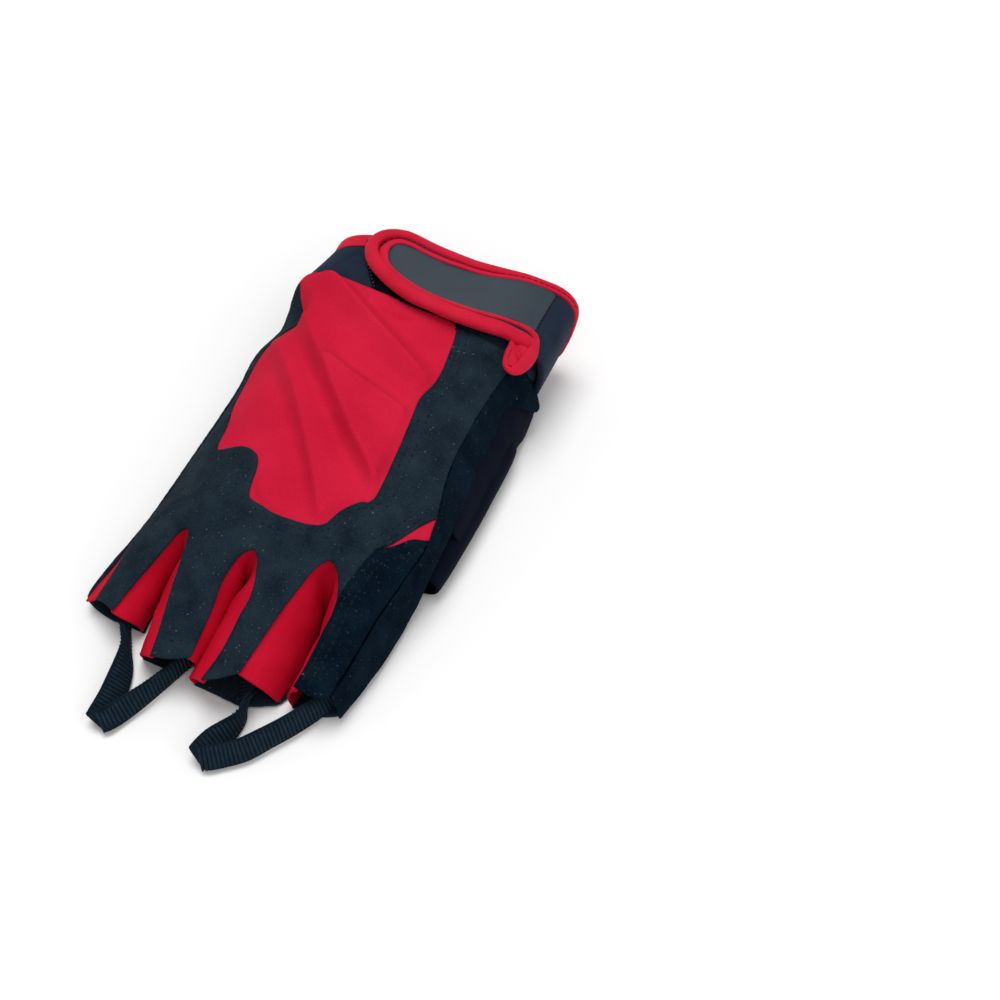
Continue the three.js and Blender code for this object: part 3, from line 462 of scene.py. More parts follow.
# A wall between two grids of points, closed round its rim.
def shell(name, rows, cols, outer, inner, material, ring=False):
    wide = cols if ring else cols + 1
    points = [side(i, j) for side in (outer, inner) for i in range(rows + 1) for j in range(wide)]
    faces = []

    def at(side, i, j):
        return side * (rows + 1) * wide + i * wide + j % wide

    for i in range(rows):
        for j in range(cols):
            faces.append((at(0, i, j), at(0, i + 1, j), at(0, i + 1, j + 1), at(0, i, j + 1)))
            faces.append((at(1, i, j), at(1, i, j + 1), at(1, i + 1, j + 1), at(1, i + 1, j)))
    for j in range(cols):
        faces.append((at(0, 0, j), at(0, 0, j + 1), at(1, 0, j + 1), at(1, 0, j)))
        faces.append((at(0, rows, j), at(1, rows, j), at(1, rows, j + 1), at(0, rows, j + 1)))
    if not ring:
        for i in range(rows):
            faces.append((at(0, i, 0), at(1, i, 0), at(1, i + 1, 0), at(0, i + 1, 0)))
            faces.append((at(0, i, cols), at(0, i + 1, cols), at(1, i + 1, cols), at(1, i, cols)))
    return soften(outward(newPiece(name, points, faces, material)))


# Turns a closed piece's faces outwards if its volume comes out negative.
def outward(piece):
    mesh = piece.data
    mesh.calc_loop_triangles()
    co = [v.co for v in mesh.vertices]
    volume = 0
    for a, b, c in (t.vertices for t in mesh.loop_triangles):
        volume += co[a].dot(co[b].cross(co[c]))
    if volume < 0:
        mesh.flip_normals()
    return piece


# A closed section carried along a path; path items are (point, side, up).
def sweep(name, path, section, material, soft=True, closed=False):
    points = []
    for k, (p, side, up) in enumerate(path):
        points += [p + side * u + up * v for u, v in section(k / (len(path) - 1))]
    n = len(points) // len(path)
    faces = []
    for i in range(len(path) - (0 if closed else 1)):
        a, b = i * n, ((i + 1) % len(path)) * n
        faces += [(a + j, a + (j + 1) % n, b + (j + 1) % n, b + j) for j in range(n)]
    if not closed:
        faces += [tuple(range(n))[::-1], tuple((len(path) - 1) * n + j for j in range(n))]
    piece = outward(newPiece(name, points, faces, material))
    return soften(piece) if soft else piece


def joinPieces(name, parts):
    bpy.ops.object.select_all(action="DESELECT")
    for p in parts:
        p.select_set(True)
    bpy.context.view_layer.objects.active = parts[0]
    bpy.ops.object.join()
    joined = parts[0]
    joined.name = name
    joined.data.name = name
    return joined


# Finishes

def linkUp(tree, *pairs):
    for a, b in pairs:
        tree.links.new(a, b)


def setInputs(node, values):
    for name, value in values.items():
        node.inputs[name].default_value = value


# A group's sockets: name, kind, and a value where one is needed
def addSockets(group, way, *sockets):
    for name, kind, *value in sockets:
        socket = group.interface.new_socket(name, in_out=way, socket_type="NodeSocket" + kind)
        if value:
            socket.default_value = value[0]


# Fine fibres: a height for the bump and a shade that varies over the cloth.
def fibreGroup():
    group = bpy.data.node_groups.new("clothFibres", "ShaderNodeTree")
    addSockets(group, "INPUT", ("Vector", "Vector"), ("Fibre", "Float", 900.0), ("Patches", "Float", 60.0),
               ("Colour A", "Color"), ("Colour B", "Color"))
    addSockets(group, "OUTPUT", ("Color", "Color"), ("Height", "Float"))
    gin, gout, fine, wide, blend, both, shade = (group.nodes.new(kind) for kind in (
        "NodeGroupInput", "NodeGroupOutput", "ShaderNodeTexNoise", "ShaderNodeTexNoise", "ShaderNodeMix",
        "ShaderNodeMath", "ShaderNodeMapRange"))
    setInputs(fine, {"Detail": 4, "Roughness": 0.7})
    setInputs(wide, {"Detail": 3})
    setInputs(shade, {"From Min": 0.70, "From Max": 1.32})
    blend.data_type = "RGBA"
    both.operation = "MULTIPLY_ADD"
    both.inputs[1].default_value = 1.0
    linkUp(group, (gin.outputs["Vector"], fine.inputs["Vector"]),
           (gin.outputs["Fibre"], fine.inputs["Scale"]), (gin.outputs["Vector"], wide.inputs["Vector"]),
           (gin.outputs["Patches"], wide.inputs["Scale"]),
           (fine.outputs["Fac"], both.inputs[0]), (wide.outputs["Fac"], both.inputs[2]),
           (both.outputs[0], shade.inputs["Value"]), (shade.outputs[0], blend.inputs["Factor"]),
           (gin.outputs["Colour A"], blend.inputs["A"]), (gin.outputs["Colour B"], blend.inputs["B"]),
           (blend.outputs["Result"], gout.inputs["Color"]), (fine.outputs["Fac"], gout.inputs["Height"]))
    return group


# Ribs or knit lines across one direction of the coordinates.
def ribGroup():
    group = bpy.data.node_groups.new("clothRibs", "ShaderNodeTree")
    addSockets(group, "INPUT", ("Vector", "Vector"), ("Scale", "Float", 300), ("Turn", "Vector"))
    addSockets(group, "OUTPUT", ("Height", "Float"))
    gin, gout, turn, wave = (group.nodes.new(kind) for kind in (
        "NodeGroupInput", "NodeGroupOutput", "ShaderNodeMapping", "ShaderNodeTexWave"))
    wave.bands_direction = "Y"
    setInputs(wave, {"Distortion": 0.6, "Detail": 1, "Detail Scale": 2})
    linkUp(group, (gin.outputs["Vector"], turn.inputs["Vector"]),
           (gin.outputs["Turn"], turn.inputs["Rotation"]),
           (turn.outputs["Vector"], wave.inputs["Vector"]), (gin.outputs["Scale"], wave.inputs["Scale"]),
           (wave.outputs["Fac"], gout.inputs["Height"]))
    return group


fibres, ribs = fibreGroup(), ribGroup()


def makeMaterial(name, look):
    material = bpy.data.materials.new(name)
    material.use_nodes = True
    tree = material.node_tree
    nodes = tree.nodes
    shader = nodes["Principled BSDF"]
    coords = nodes.new("ShaderNodeTexCoord")
    cloth = nodes.new("ShaderNodeGroup")
    cloth.node_tree = fibres
    setInputs(cloth, {"Fibre": look["fibre"], "Patches": look["patches"],
                      "Colour A": (*look["dark"], 1), "Colour B": (*look["light"], 1)})
    bump = nodes.new("ShaderNodeBump")
    setInputs(bump, {"Strength": look["bump"], "Distance": look["depth"] * mm})
    setInputs(shader, {"Roughness": look["rough"], "Specular IOR Level": look["specular"],
                       "Sheen Weight": look.get("sheen", 0), "Sheen Roughness": 0.5,
                       "Sheen Tint": (*look.get("sheenTint", (1, 1, 1)), 1)})
    linkUp(tree, (coords.outputs["Object"], cloth.inputs["Vector"]),
           (bump.outputs["Normal"], shader.inputs["Normal"]))
    colour, height = cloth.outputs["Color"], cloth.outputs["Height"]
    if "ribs" in look:
        rib = nodes.new("ShaderNodeGroup")
        rib.node_tree = ribs
        setInputs(rib, {"Scale": look["ribs"], "Turn": (0, 0, math.radians(look["turn"]))})
        both = nodes.new("ShaderNodeMath")
        both.operation = "MULTIPLY_ADD"
        both.inputs[1].default_value = look["ribDepth"]
        linkUp(tree, (coords.outputs["Object"], rib.inputs["Vector"]),
               (rib.outputs["Height"], both.inputs[0]), (height, both.inputs[2]))
        height = both.outputs[0]
    if "lint" in look:
        specks, cut, paint = (nodes.new("ShaderNode" + kind) for kind in ("TexNoise", "MapRange", "Mix"))
        setInputs(specks, {"Scale": lint["scale"], "Detail": 1})
        setInputs(cut, {"From Min": lint["from"], "From Max": lint["full"]})
        paint.data_type = "RGBA"
        paint.inputs["B"].default_value = (*look["lint"], 1)
        linkUp(tree, (coords.outputs["Object"], specks.inputs["Vector"]),
               (specks.outputs["Fac"], cut.inputs["Value"]),
               (cut.outputs[0], paint.inputs["Factor"]), (colour, paint.inputs["A"]))
        colour = paint.outputs["Result"]
    linkUp(tree, (colour, shader.inputs["Base Color"]), (height, bump.inputs["Height"]))
    return material


lint = {"scale": 1300, "from": 0.715, "full": 0.80}
suede = {"fibre": 1700, "patches": 120, "bump": 0.7, "depth": 0.3, "rough": 1.0}
neoprene = {"fibre": 2400, "patches": 120, "bump": 0.35, "depth": 0.12, "rough": 0.85}
webbed = {"fibre": 2600, "patches": 400, "bump": 0.5, "depth": 0.15}
thread = {"fibre": 3000, "patches": 400, "bump": 0.4, "depth": 0.1, "rough": 0.7}
looks = {
    "blackSuede": {**suede, "dark": (0.003, 0.009, 0.016), "light": (0.016, 0.029, 0.043),
                   "specular": 0.1, "lint": (0.12, 0.125, 0.11)},
    # A darker copy of the black suede for the index panel and the side wall: painted shade on these faces.
    "sideSuede": {**suede, "dark": (0.0005, 0.003, 0.008), "light": (0.0045, 0.0135, 0.025),
                  "specular": 0.03, "lint": (0.08, 0.085, 0.075)},
    "redStretch": {"dark": (0.50, 0.008, 0.034), "light": (0.62, 0.015, 0.048), "fibre": 1800, "patches": 40,
                   "bump": 0.3, "depth": 0.12, "rough": 0.8, "specular": 0.03,
                   "ribs": 420, "ribDepth": 0.5, "turn": 8},
    # A copy of the red stretch with less green and blue for the finger walls: a deeper red, painted shade of
    # the walls.
    "redWall": {"dark": (0.49, 0.003, 0.022), "light": (0.61, 0.008, 0.034), "fibre": 1800, "patches": 60,
                "bump": 0.3, "depth": 0.1, "rough": 0.8, "specular": 0.04},
    "redBinding": {"dark": (0.50, 0.004, 0.026), "light": (0.62, 0.011, 0.040), "fibre": 2200, "patches": 120,
                   "bump": 0.35, "depth": 0.15, "rough": 0.75, "specular": 0.12,
                   "sheen": 0.06, "sheenTint": (1, 0.4, 0.45), "ribs": 700, "ribDepth": 0.4, "turn": 90},
    "navyNeoprene": {**neoprene, "dark": (0.006, 0.012, 0.026), "light": (0.014, 0.025, 0.046),
                     "specular": 0.12, "sheen": 0.03, "sheenTint": (0.6, 0.7, 1)},
    # A darker copy of the navy neoprene for the thumb stall: painted shade.
    "navyThumb": {**neoprene, "dark": (0.001, 0.002, 0.008), "light": (0.002, 0.004, 0.014),
                  "specular": 0.08},
    "greyRubber": {"dark": (0.028, 0.040, 0.054), "light": (0.040, 0.053, 0.070),
                   "fibre": 1500, "patches": 60, "bump": 0.1, "depth": 0.05, "rough": 0.55, "specular": 0.2},
    "blackLoop": {"dark": (0.001, 0.001, 0.003), "light": (0.004, 0.005, 0.010),
                  "fibre": 1600, "patches": 300, "bump": 1.0, "depth": 0.5, "rough": 1.0, "specular": 0.05},
    "blackWebbing": {**webbed, "dark": (0.003, 0.011, 0.021), "light": (0.010, 0.028, 0.047),
                     "rough": 0.8, "specular": 0.15},
    # A darker copy of the webbing for the band under the ribs: painted shade in the gaps between the ribs.
    "webbingBase": {**webbed, "dark": (0.002, 0.006, 0.012), "light": (0.006, 0.015, 0.027),
                    "rough": 0.85, "specular": 0.08},
    "darkThread": {**thread, "dark": (0.001, 0.002, 0.004), "light": (0.004, 0.007, 0.011), "specular": 0.15},
    "redThread": {**thread, "dark": (0.26, 0.001, 0.01), "light": (0.40, 0.003, 0.018), "specular": 0.1},
    "paleThread": {**thread, "dark": (0.10, 0.10, 0.12), "light": (0.22, 0.22, 0.24), "specular": 0.1},
}
finish = {name: makeMaterial(name, look) for name, look in looks.items()}
print("finishes made")


# What repeats along a line: stitches and the webbing's ribs

def alongTree():
    tree = bpy.data.node_groups.new("alongLine", "GeometryNodeTree")
    addSockets(tree, "INPUT", ("Geometry", "Geometry"), ("Item", "Object"), ("Spacing", "Float", 0.003),
               ("Least Size", "Float", 0.9), ("Seed", "Int", 3), ("Material", "Material"))
    addSockets(tree, "OUTPUT", ("Geometry", "Geometry"))
    n = tree.nodes
    gin, gout = n.new("NodeGroupInput"), n.new("NodeGroupOutput")
    curve, spread = n.new("GeometryNodeMeshToCurve"), n.new("GeometryNodeResampleCurve")
    spread.mode = "LENGTH"
    tangent, up = n.new("GeometryNodeInputTangent"), n.new("GeometryNodeInputNamedAttribute")
    up.data_type = "FLOAT_VECTOR"
    up.inputs["Name"].default_value = "up"
    aim, level = n.new("FunctionNodeAlignRotationToVector"), n.new("FunctionNodeAlignRotationToVector")
    aim.axis, level.axis, level.pivot_axis = "X", "Z", "X"
    item, size = n.new("GeometryNodeObjectInfo"), n.new("FunctionNodeRandomValue")
    put, real, paint = (n.new(k) for k in (
        "GeometryNodeInstanceOnPoints", "GeometryNodeRealizeInstances", "GeometryNodeSetMaterial"))
    least, most = [s for s in size.inputs if s.type == "VALUE"][:2]
    most.default_value = 1.0
    linkUp(tree, (gin.outputs["Geometry"], curve.inputs[0]), (curve.outputs[0], spread.inputs["Curve"]),
           (gin.outputs["Spacing"], spread.inputs["Length"]), (spread.outputs[0], put.inputs["Points"]),
           (tangent.outputs[0], aim.inputs["Vector"]), (aim.outputs[0], level.inputs["Rotation"]),
           (up.outputs["Attribute"], level.inputs["Vector"]), (level.outputs[0], put.inputs["Rotation"]),
           (gin.outputs["Item"], item.inputs["Object"]), (item.outputs["Geometry"], put.inputs["Instance"]),
           (gin.outputs["Least Size"], least), (gin.outputs["Seed"], size.inputs["Seed"]),
           (size.outputs[1], put.inputs["Scale"]), (put.outputs[0], real.inputs[0]),
           (real.outputs[0], paint.inputs["Geometry"]), (gin.outputs["Material"], paint.inputs["Material"]),
           (paint.outputs[0], gout.inputs[0]))
    return tree


along = alongTree()


# A small closed bar with rounded ends, lying along X.
def bar(name, long, wide, high):
    rings = [(-0.5, 0.35), (-0.36, 0.9), (0, 1), (0.36, 0.9), (0.5, 0.35)]
    sides = 6
    points, faces = [], []
    for at, size in rings:
        for s in range(sides):
            a = 2 * math.pi * s / sides
            points.append((at * long, math.cos(a) * wide / 2 * size, math.sin(a) * high / 2 * size))
    for r in range(len(rings) - 1):
        a, b = r * sides, (r + 1) * sides
        faces += [(a + s, b + s, b + (s + 1) % sides, a + (s + 1) % sides) for s in range(sides)]
    faces += [tuple(range(sides)), tuple(range(len(points) - 1, len(points) - 1 - sides, -1))]
    mesh = bpy.data.meshes.new(name)
    mesh.from_pydata([Vector(p) * mm for p in points], [], faces)
    mesh.shade_smooth()
    item = outward(bpy.data.objects.new(name, mesh))
    bpy.context.collection.objects.link(item)
    return item


# Lines are lists of (point, up); one mesh comes out for all of them.
def repeatAlong(name, lines, item, spacing, material, least=0.9):
    points, edges = [], []
    for line in lines:
        first = len(points)
        points += [place(p) for p, _ in line]
        edges += [(first + i, first + i + 1) for i in range(len(line) - 1)]
    mesh = bpy.data.meshes.new(name)
    mesh.from_pydata(points, edges, [])
    layer = mesh.attributes.new("up", "FLOAT_VECTOR", "POINT")
    for at, (_, up) in zip(layer.data, (spot for line in lines for spot in line)):
        at.vector = up
    piece = bpy.data.objects.new(name, mesh)
    bpy.context.collection.objects.link(piece)
    repeat = piece.modifiers.new("along", "NODES")
    repeat.node_group = along
    values = {"Item": item, "Spacing": spacing * mm, "Least Size": least, "Seed": 3, "Material": material}
    for socket in along.interface.items_tree:
        if socket.in_out == "INPUT" and socket.name in values:
            repeat[socket.identifier] = values[socket.name]
    settle(piece)
    bpy.data.objects.remove(item)
    return piece


# Back of the hand

backSheet = {"spacing": 1.35, "redSpacing": 0.75, "over": 0.7, "lift": 0.35, "wave": 0.35, "indexOver": 0.55}
redLine = smoothLine(redOutline, 1.1, True)
redEdge = treeOf(redLine)
crescentLine = smoothLine(crescentOutline, 0.8, True)
backLine = backOutline(1.2)
aroundIndex = straightLine([(26.6, -60), (20, -88), (52, -88), (52, -15)], 3, False)
indexLine = smoothLine(indexEdge, 1.0) + aroundIndex


def waver(x, y, size, amount, seed=0.0):
    return amount * noise.noise(Vector((x / size, y / size, seed)))


# A line of stitches runs beside a cut edge.
def offsetLine(points, by):
    line = smoothLine(points, 1.0)
    out = []
    for i, p in enumerate(line):
        a, b = line[max(i - 1, 0)], line[min(i + 1, len(line) - 1)]
        d = (b - a).to_2d().normalized()
        out.append(Vector((p.x + d.y * by, p.y - d.x * by, 0)))
    return out


stitch = {"pitch": 2.3, "long": 1.6, "wide": 1.1, "high": 0.4, "first": 1.6, "second": 4.2, "lift": 0.02,
          "groove": 0.45, "grooveHalf": 0.8, "fromEnd": 4.5}
redSeam = redOutline[4:23]
indexSeam = indexEdge[1:] + [(27.1, -60), (26.4, -70), (25.2, -76)]
stitchLines = {
    "frame": [offsetLine(redSeam, d) for d in (-stitch["first"], -stitch["second"])]
    + [offsetLine(crescentOutline[:5], d) for d in (1.6, 3.8)],
    "index": [offsetLine(indexSeam, -d) for d in (1.6, 4.0)],
}
for name in ("ring", "middle", "index"):
    a, b = fingerEnds[name][0], fingerEnds[name][-1]
    shares = [0.22 + 0.6 * k / 10 for k in range(11)]
    hem = [Vector((mix(a[0], b[0], t), mix(a[1], b[1], t) + stitch["fromEnd"], 0)) for t in shares]
    stitchLines["index" if name == "index" else "frame"].append(hem)


def grooveOf(lines):
    tree = treeOf([p for line in lines for p in evenLine(line, max(2, len(line) * 2))])
    return lambda x, y: stitch["groove"] * bell(tree.find((x, y, 0))[2], stitch["grooveHalf"])


frameGroove, indexGroove = grooveOf(stitchLines["frame"]), grooveOf(stitchLines["index"])


# Near the wrist the back lies over the cuff's end, whose section is this rounded one.
cover = {"middle": 0.95, "half": 46.45, "centre": 19.35, "high": 18.25, "power": 2.9, "root": 0.345,
         "above": 0.6}


def coverHeight(x, y):
    u = abs((x - cover["middle"]) / cover["half"])
    over = cover["centre"] + cover["high"] * (1 - min(u, 0.999) ** cover["power"]) ** cover["root"]
    low = backHeight(x, y)
    return mix(low, max(low, over + cover["above"]), ease(50, 66, y))


def redSurface(x, y):
    low = coverHeight(x, y) - 0.5 + waver(x, y, 9, 0.12)
    return low + max(foldHeight(x, y), mix(-3, 0.5, ease(52, 60, y)))


def frameSurface(x, y):
    soft = waver(x, y, 14, backSheet["wave"]) + waver(x, y, 5, 0.12, 4.0)
    return coverHeight(x, y) + backSheet["lift"] + soft - frameGroove(x, y)


def indexSurface(x, y):
    soft = waver(x, y, 12, 0.3, 8.0)
    return backHeight(x, y) + backSheet["lift"] + backSheet["indexOver"] + soft - indexGroove(x, y)


# The red panel is tucked under the frame, but ends at its own line over the wrist.
tuckedRed = []
for p, q in zip(redLine, grow(redLine, 1.2)):
    wrist = ease(-42, -33, p.x) if p.y > 59.5 else 0
    q = q.lerp(p + Vector((0, -0.4, 0)), wrist)
    tuckedRed.append(Vector((min(q.x, 19) if wrist else q.x, q.y, 0)))
frameRed = grow(redLine, -backSheet["over"])
frameCrescent = grow(crescentLine, -0.3)
frameIndex = [Vector((p.x + 1.2, p.y - 1.2, 0)) for p in indexLine[:-4]] + indexLine[-4:]
tuckedCrescent = grow(crescentLine, 0.9)

backPanel = cutSheet("backPanel", [tuckedRed], [], backSheet["redSpacing"], redSurface,
                     cloth["stretch"], finish["redStretch"], 0)
knuckleFrame = cutSheet("knuckleFrame", [backLine], [frameRed, frameCrescent, frameIndex],
                        backSheet["spacing"], frameSurface, cloth["suede"], finish["blackSuede"])
# The index panel takes the darker copy of the suede, painted shade.
indexPanel = cutSheet("indexPanel", [backLine, indexLine], [crescentLine],
                      backSheet["spacing"], indexSurface, cloth["suede"], finish["sideSuede"])
indexGusset = cutSheet("indexGusset", [tuckedCrescent, backLine], [], 1.0,
                       lambda x, y: backHeight(x, y) - 0.25, cloth["stretch"], finish["redStretch"])
print("back of the hand made")


# Points of a line on a surface, each with the way up from it
def onSurface(line, surface):
    out = []
    for p in line:
        alongX = surface(p.x + 0.5, p.y) - surface(p.x - 0.5, p.y)
        alongY = surface(p.x, p.y + 0.5) - surface(p.x, p.y - 0.5)
        up = Vector((-alongX, -alongY, 1)).normalized()
        out.append((Vector((p.x, p.y, surface(p.x, p.y))) + up * stitch["lift"], up))
    return out


suedeStitches = repeatAlong(
    "suedeStitches",
    [onSurface(line, frameSurface) for line in stitchLines["frame"]]
    + [onSurface(line, indexSurface) for line in stitchLines["index"]],
    bar("thread", stitch["long"], stitch["wide"], stitch["high"]), stitch["pitch"],
    finish["darkThread"], 0.75)
print("suede stitched")


# Between the fingers

gussetForm = {"rows": 96, "across": 14, "tuck": 0.9, "below": 1.1, "apart": 0.3}
gussetBow = [{"left": 2.6, "right": 2.4}, {"left": 3.4, "right": 3.6}, {"left": 1.8, "right": 2.6}]


# A bowed wall of cloth between two lines
def wallBetween(name, top, foot, rows, across, bulge, thick, material):
    grid = [[p.lerp(q, j / across) for j in range(across + 1)]
            for p, q in zip(evenLine(top, rows), evenLine(foot, rows))]

    def normalAt(i, j):
        down = grid[min(i + 1, rows)][j] - grid[max(i - 1, 0)][j]
        over = grid[i][min(j + 1, across)] - grid[i][max(j - 1, 0)]
        return down.cross(over).normalized()

    def outer(i, j):
        t = j / across
        swell = bulge(i / rows) * 4 * t * (1 - t) + 0.4 * noise.noise(grid[i][j] / 6)
        return grid[i][j] + normalAt(i, j) * swell

    def inner(i, j):
        return outer(i, j) - normalAt(i, j) * thick

    return shell(name, rows, across, outer, inner, material)


def fingerGusset(i, name):
    edge = smoothLine(gapEdge(i), 1.0)
    top = []
    for k, p in enumerate(edge):
        q, r = edge[max(k - 1, 0)], edge[min(k + 1, len(edge) - 1)]
        d = (r - q).to_2d().normalized()
        x, y = p.x - d.y * gussetForm["tuck"], p.y + d.x * gussetForm["tuck"]
        top.append(Vector((x, y, backHeight(x, y) - gussetForm["below"])))
    right, crown, left = slotEdge(palmSlots[i])
    down = [palmEnds[3 - i][0]] + left[::-1][1:]
    upward = right[::-1][:-1] + [palmEnds[2 - i][-1]]
    foot = []
    for side, spots in ((-1, down), (0, crown), (1, upward)):
        for x, y in spots:
            x += side * gussetForm["apart"]
            foot.append(Vector((x, y, palmHeight(x, y) + cloth["suede"] + 0.2)))

    def bow(t):
        side = gussetBow[i]["left" if t < 0.5 else "right"]
        return -0.3 - side * ease(0.0, 0.12, abs(t - 0.5)) * mix(1, 0.8, ease(0.3, 0.5, abs(t - 0.5)))

    # The walls take the deeper red copy of the stretch, painted shade.
    return wallBetween(name, top, foot, gussetForm["rows"], gussetForm["across"], bow,
                       -cloth["stretch"], finish["redWall"])


gussetNames = ["gussetPinkyRing", "gussetRingMiddle", "gussetMiddleIndex"]
gussets = [fingerGusset(i, name) for i, name in enumerate(gussetNames)]

pinkyForm = {"ys": [-39, -44, -50, -56, -62, -67, -69.5], "rows": 40, "across": 6, "bulge": 0.3}


def pinkySeam(edge, inward, onward, surface, lift):
    spots = [(edge(y) + inward, y) for y in pinkyForm["ys"]]
    return smoothLine([(x, y + onward, surface(x, y) + lift) for x, y in spots], 1.0)


# The pinky's wall takes the deeper red copy of the stretch, painted shade.
pinkyGusset = wallBetween(
    "pinkyGusset", pinkySeam(fingers["pinky"]["left"], 0.8, 0, backHeight, -1.1),
    pinkySeam(palmEdge["left"], 1.4, 0.4, palmHeight, 1.5), pinkyForm["rows"], pinkyForm["across"],
    lambda t: pinkyForm["bulge"], cloth["stretch"], finish["redWall"])
print("finger walls made")

# Side wall, palm and thumb

sideFoot = table("y x z", [
    (67.5, 42.5, 10), (64.8, 47, 9), (61.4, 50.2, 8.8), (57.5, 50.4, 10), (54.5, 49, 12.4),
    (51.5, 46.6, 16.6), (48.5, 44.6, 19.4), (45, 43.2, 20.4), (41, 43, 20), (38, 44, 18), (35, 44.4, 17),
    (23, 44.2, 17.4), (12, 45.3, 16.6), (0, 45.8, 15.6), (-18, 46, 13), (-26, 45.2, 8.5), (-34, 43.9, 3),
    (-52, 42.9, 2.2), (-66, 41, 2.2), (-74.5, 39.4, 2.2)])
sideForm = {"rows": 120, "across": 16, "bulge": 0.8}
sideYs = [67 - 142.4 * k / 44 for k in range(45)]
sideTop = [Vector((hand["right"](y) + 0.8, y, backHeight(hand["right"](y), y) + 0.6)) for y in sideYs]
sideLow = [Vector((sideFoot["x"](y), y, sideFoot["z"](y) + waver(y, 0, 7, 0.8))) for y in sideYs]
# The side wall takes the darker copy of the suede, painted shade.
sideWall = wallBetween("sideWall", sideTop, sideLow, sideForm["rows"], sideForm["across"],
                       lambda t: sideForm["bulge"], cloth["suede"], finish["sideSuede"])

palmForm = {"spacing": 2.2}
palmLine = palmOutline(1.6)
hole = straightLine([(thumbHole["x"][i], thumbHole["y"][j]) for i, j in ((0, 0), (1, 0), (1, 1), (0, 1))], 2)


def palmTop(x, y):
    return palmHeight(x, y) + cloth["suede"]


palmPanel = cutSheet("palmPanel", [palmLine], [hole], palmForm["spacing"], palmTop, cloth["suede"],
                     finish["blackSuede"])

thumb = table("y x halfWide halfHigh", [
    (47, 37, 9, 5.4), (42, 36.6, 12.6, 6.6), (26, 36.2, 13.8, 6.8), (5, 36, 14, 6.8),
    (-12, 35.6, 13.8, 6.6), (-21.5, 35.4, 13, 5.8)])


def flatCurve(angle, x, z, wide, high, power):
    c, s = math.cos(angle), math.sin(angle)
    bend = 2 / power
    return (x + wide * math.copysign(abs(c) ** bend, c), z + high * math.copysign(abs(s) ** bend, s))


thumbForm = {"rows": 56, "round": 64, "wall": 1.4, "floor": 0.2, "power": 2.5,
             "end": 48.4, "root": 47, "tip": -21.5, "domeRows": 8, "dome": 1.4}


def thumbPoint(y, angle, inset):
    return flatCurve(angle, thumb["x"](y), thumb["halfHigh"](y) + thumbForm["floor"],
                     thumb["halfWide"](y) - inset, thumb["halfHigh"](y) - inset, thumbForm["power"])


def thumbGrid(inset):
    rows, dome, root = thumbForm["rows"], thumbForm["domeRows"], thumbForm["root"]

    def at(i, j):
        angle = 2 * math.pi * j / thumbForm["round"]
        if i < dome:  # the closed end inside the palm
            turn = i / dome * math.pi / 2
            grown = max(math.sin(turn), 0.02)
            x, z = thumbPoint(root, angle, inset)
            y = thumbForm["end"] - (inset and thumbForm["wall"]) - thumbForm["dome"] * (1 - math.cos(turn))
            return Vector((mix(thumb["x"](root), x, grown), y,
                           mix(thumb["halfHigh"](root) + thumbForm["floor"], z, grown)))
        y = mix(root, thumbForm["tip"], (i - dome) / (rows - dome))
        x, z = thumbPoint(y, angle, inset)
        return Vector((x, y, z + waver(y, x, 9, 0.3, 5.0) * ease(0, 4, z)))

    return at


# The thumb stall takes the darker copy of the navy neoprene, painted shade.
thumbTube = shell("thumbTube", thumbForm["rows"], thumbForm["round"], thumbGrid(0),
                  thumbGrid(thumbForm["wall"]), finish["navyThumb"], ring=True)

# The stall's root goes up behind the notch in the side wall.
thumbRoot = table("y x z", [
    (66, 40, 1.6), (62, 45, 1.6), (56, 47.4, 1.8), (50, 48.6, 3), (44, 49, 6), (30, 48.8, 8), (5, 48.6, 9),
    (-8, 48.4, 9)])
rootYs = [65 - 70 * k / 36 for k in range(37)]
rootTop = [Vector((sideFoot["x"](y) - 2.2, y, sideFoot["z"](y) + 3.5)) for y in rootYs]
rootFoot = [Vector((thumbRoot["x"](y), y, thumbRoot["z"](y))) for y in rootYs]
# The root wall also takes the darker navy copy, painted shade.
rootWall = wallBetween("thumbRoot", rootTop, rootFoot, 60, 12, lambda t: 1.2, thumbForm["wall"],
                       finish["navyThumb"])
thumbStall = joinPieces("thumbStall", [thumbTube, rootWall])
print("palm and thumb made")

# Cuff and strap

cuffForm = {"hand": (-45.5, 47.4, 36.5), "open": (-39.6, 47.6, 36.9), "floor": 1.1, "power": 2.9,
            "top": 89.6, "under": 64.4, "tuck": 1.4, "rows": 26, "round": 150,
            "leanFrom": 32, "lean": (0.03, 0.27)}
seamAcross = table("x y", [
    (-46, 69.4), (-33, 69.1), (-17.7, 66.6), (4.5, 64.1), (18.8, 62.4), (40, 60.5), (50, 60.5)])["y"]


# The wrist's thumb side leans in towards the floor.
def leaned(x, z, t):
    lean = mix(*cuffForm["lean"], ease(0.15, 0.9, t))
    return x - lean * max(0, cuffForm["leanFrom"] - z) * ease(8, 46, x)


def cuffPoint(angle, t, lift):
    left, right, high = (mix(a, b, t) for a, b in zip(cuffForm["hand"], cuffForm["open"]))
    x, z = flatCurve(angle, (left + right) / 2, high / 2 + cuffForm["floor"],
                     (right - left) / 2 + lift, high / 2 + lift, cuffForm["power"])
    seam = mix(cuffForm["under"], seamAcross(x) - 4, ease(4, 16, z))
    return Vector((leaned(x, z, t), mix(seam, cuffForm["top"], t), z))


def cuffGrid(lift, wave=0.0):
    def at(i, j):
        t = i / cuffForm["rows"]
        p = cuffPoint(2 * math.pi * j / cuffForm["round"], t, lift - cuffForm["tuck"] * ease(0.24, 0.02, t))
        if wave:
            p.z += waver(p.x, p.y, 11, wave, 3.0) * ease(6, 16, p.z)
        return p

    return at


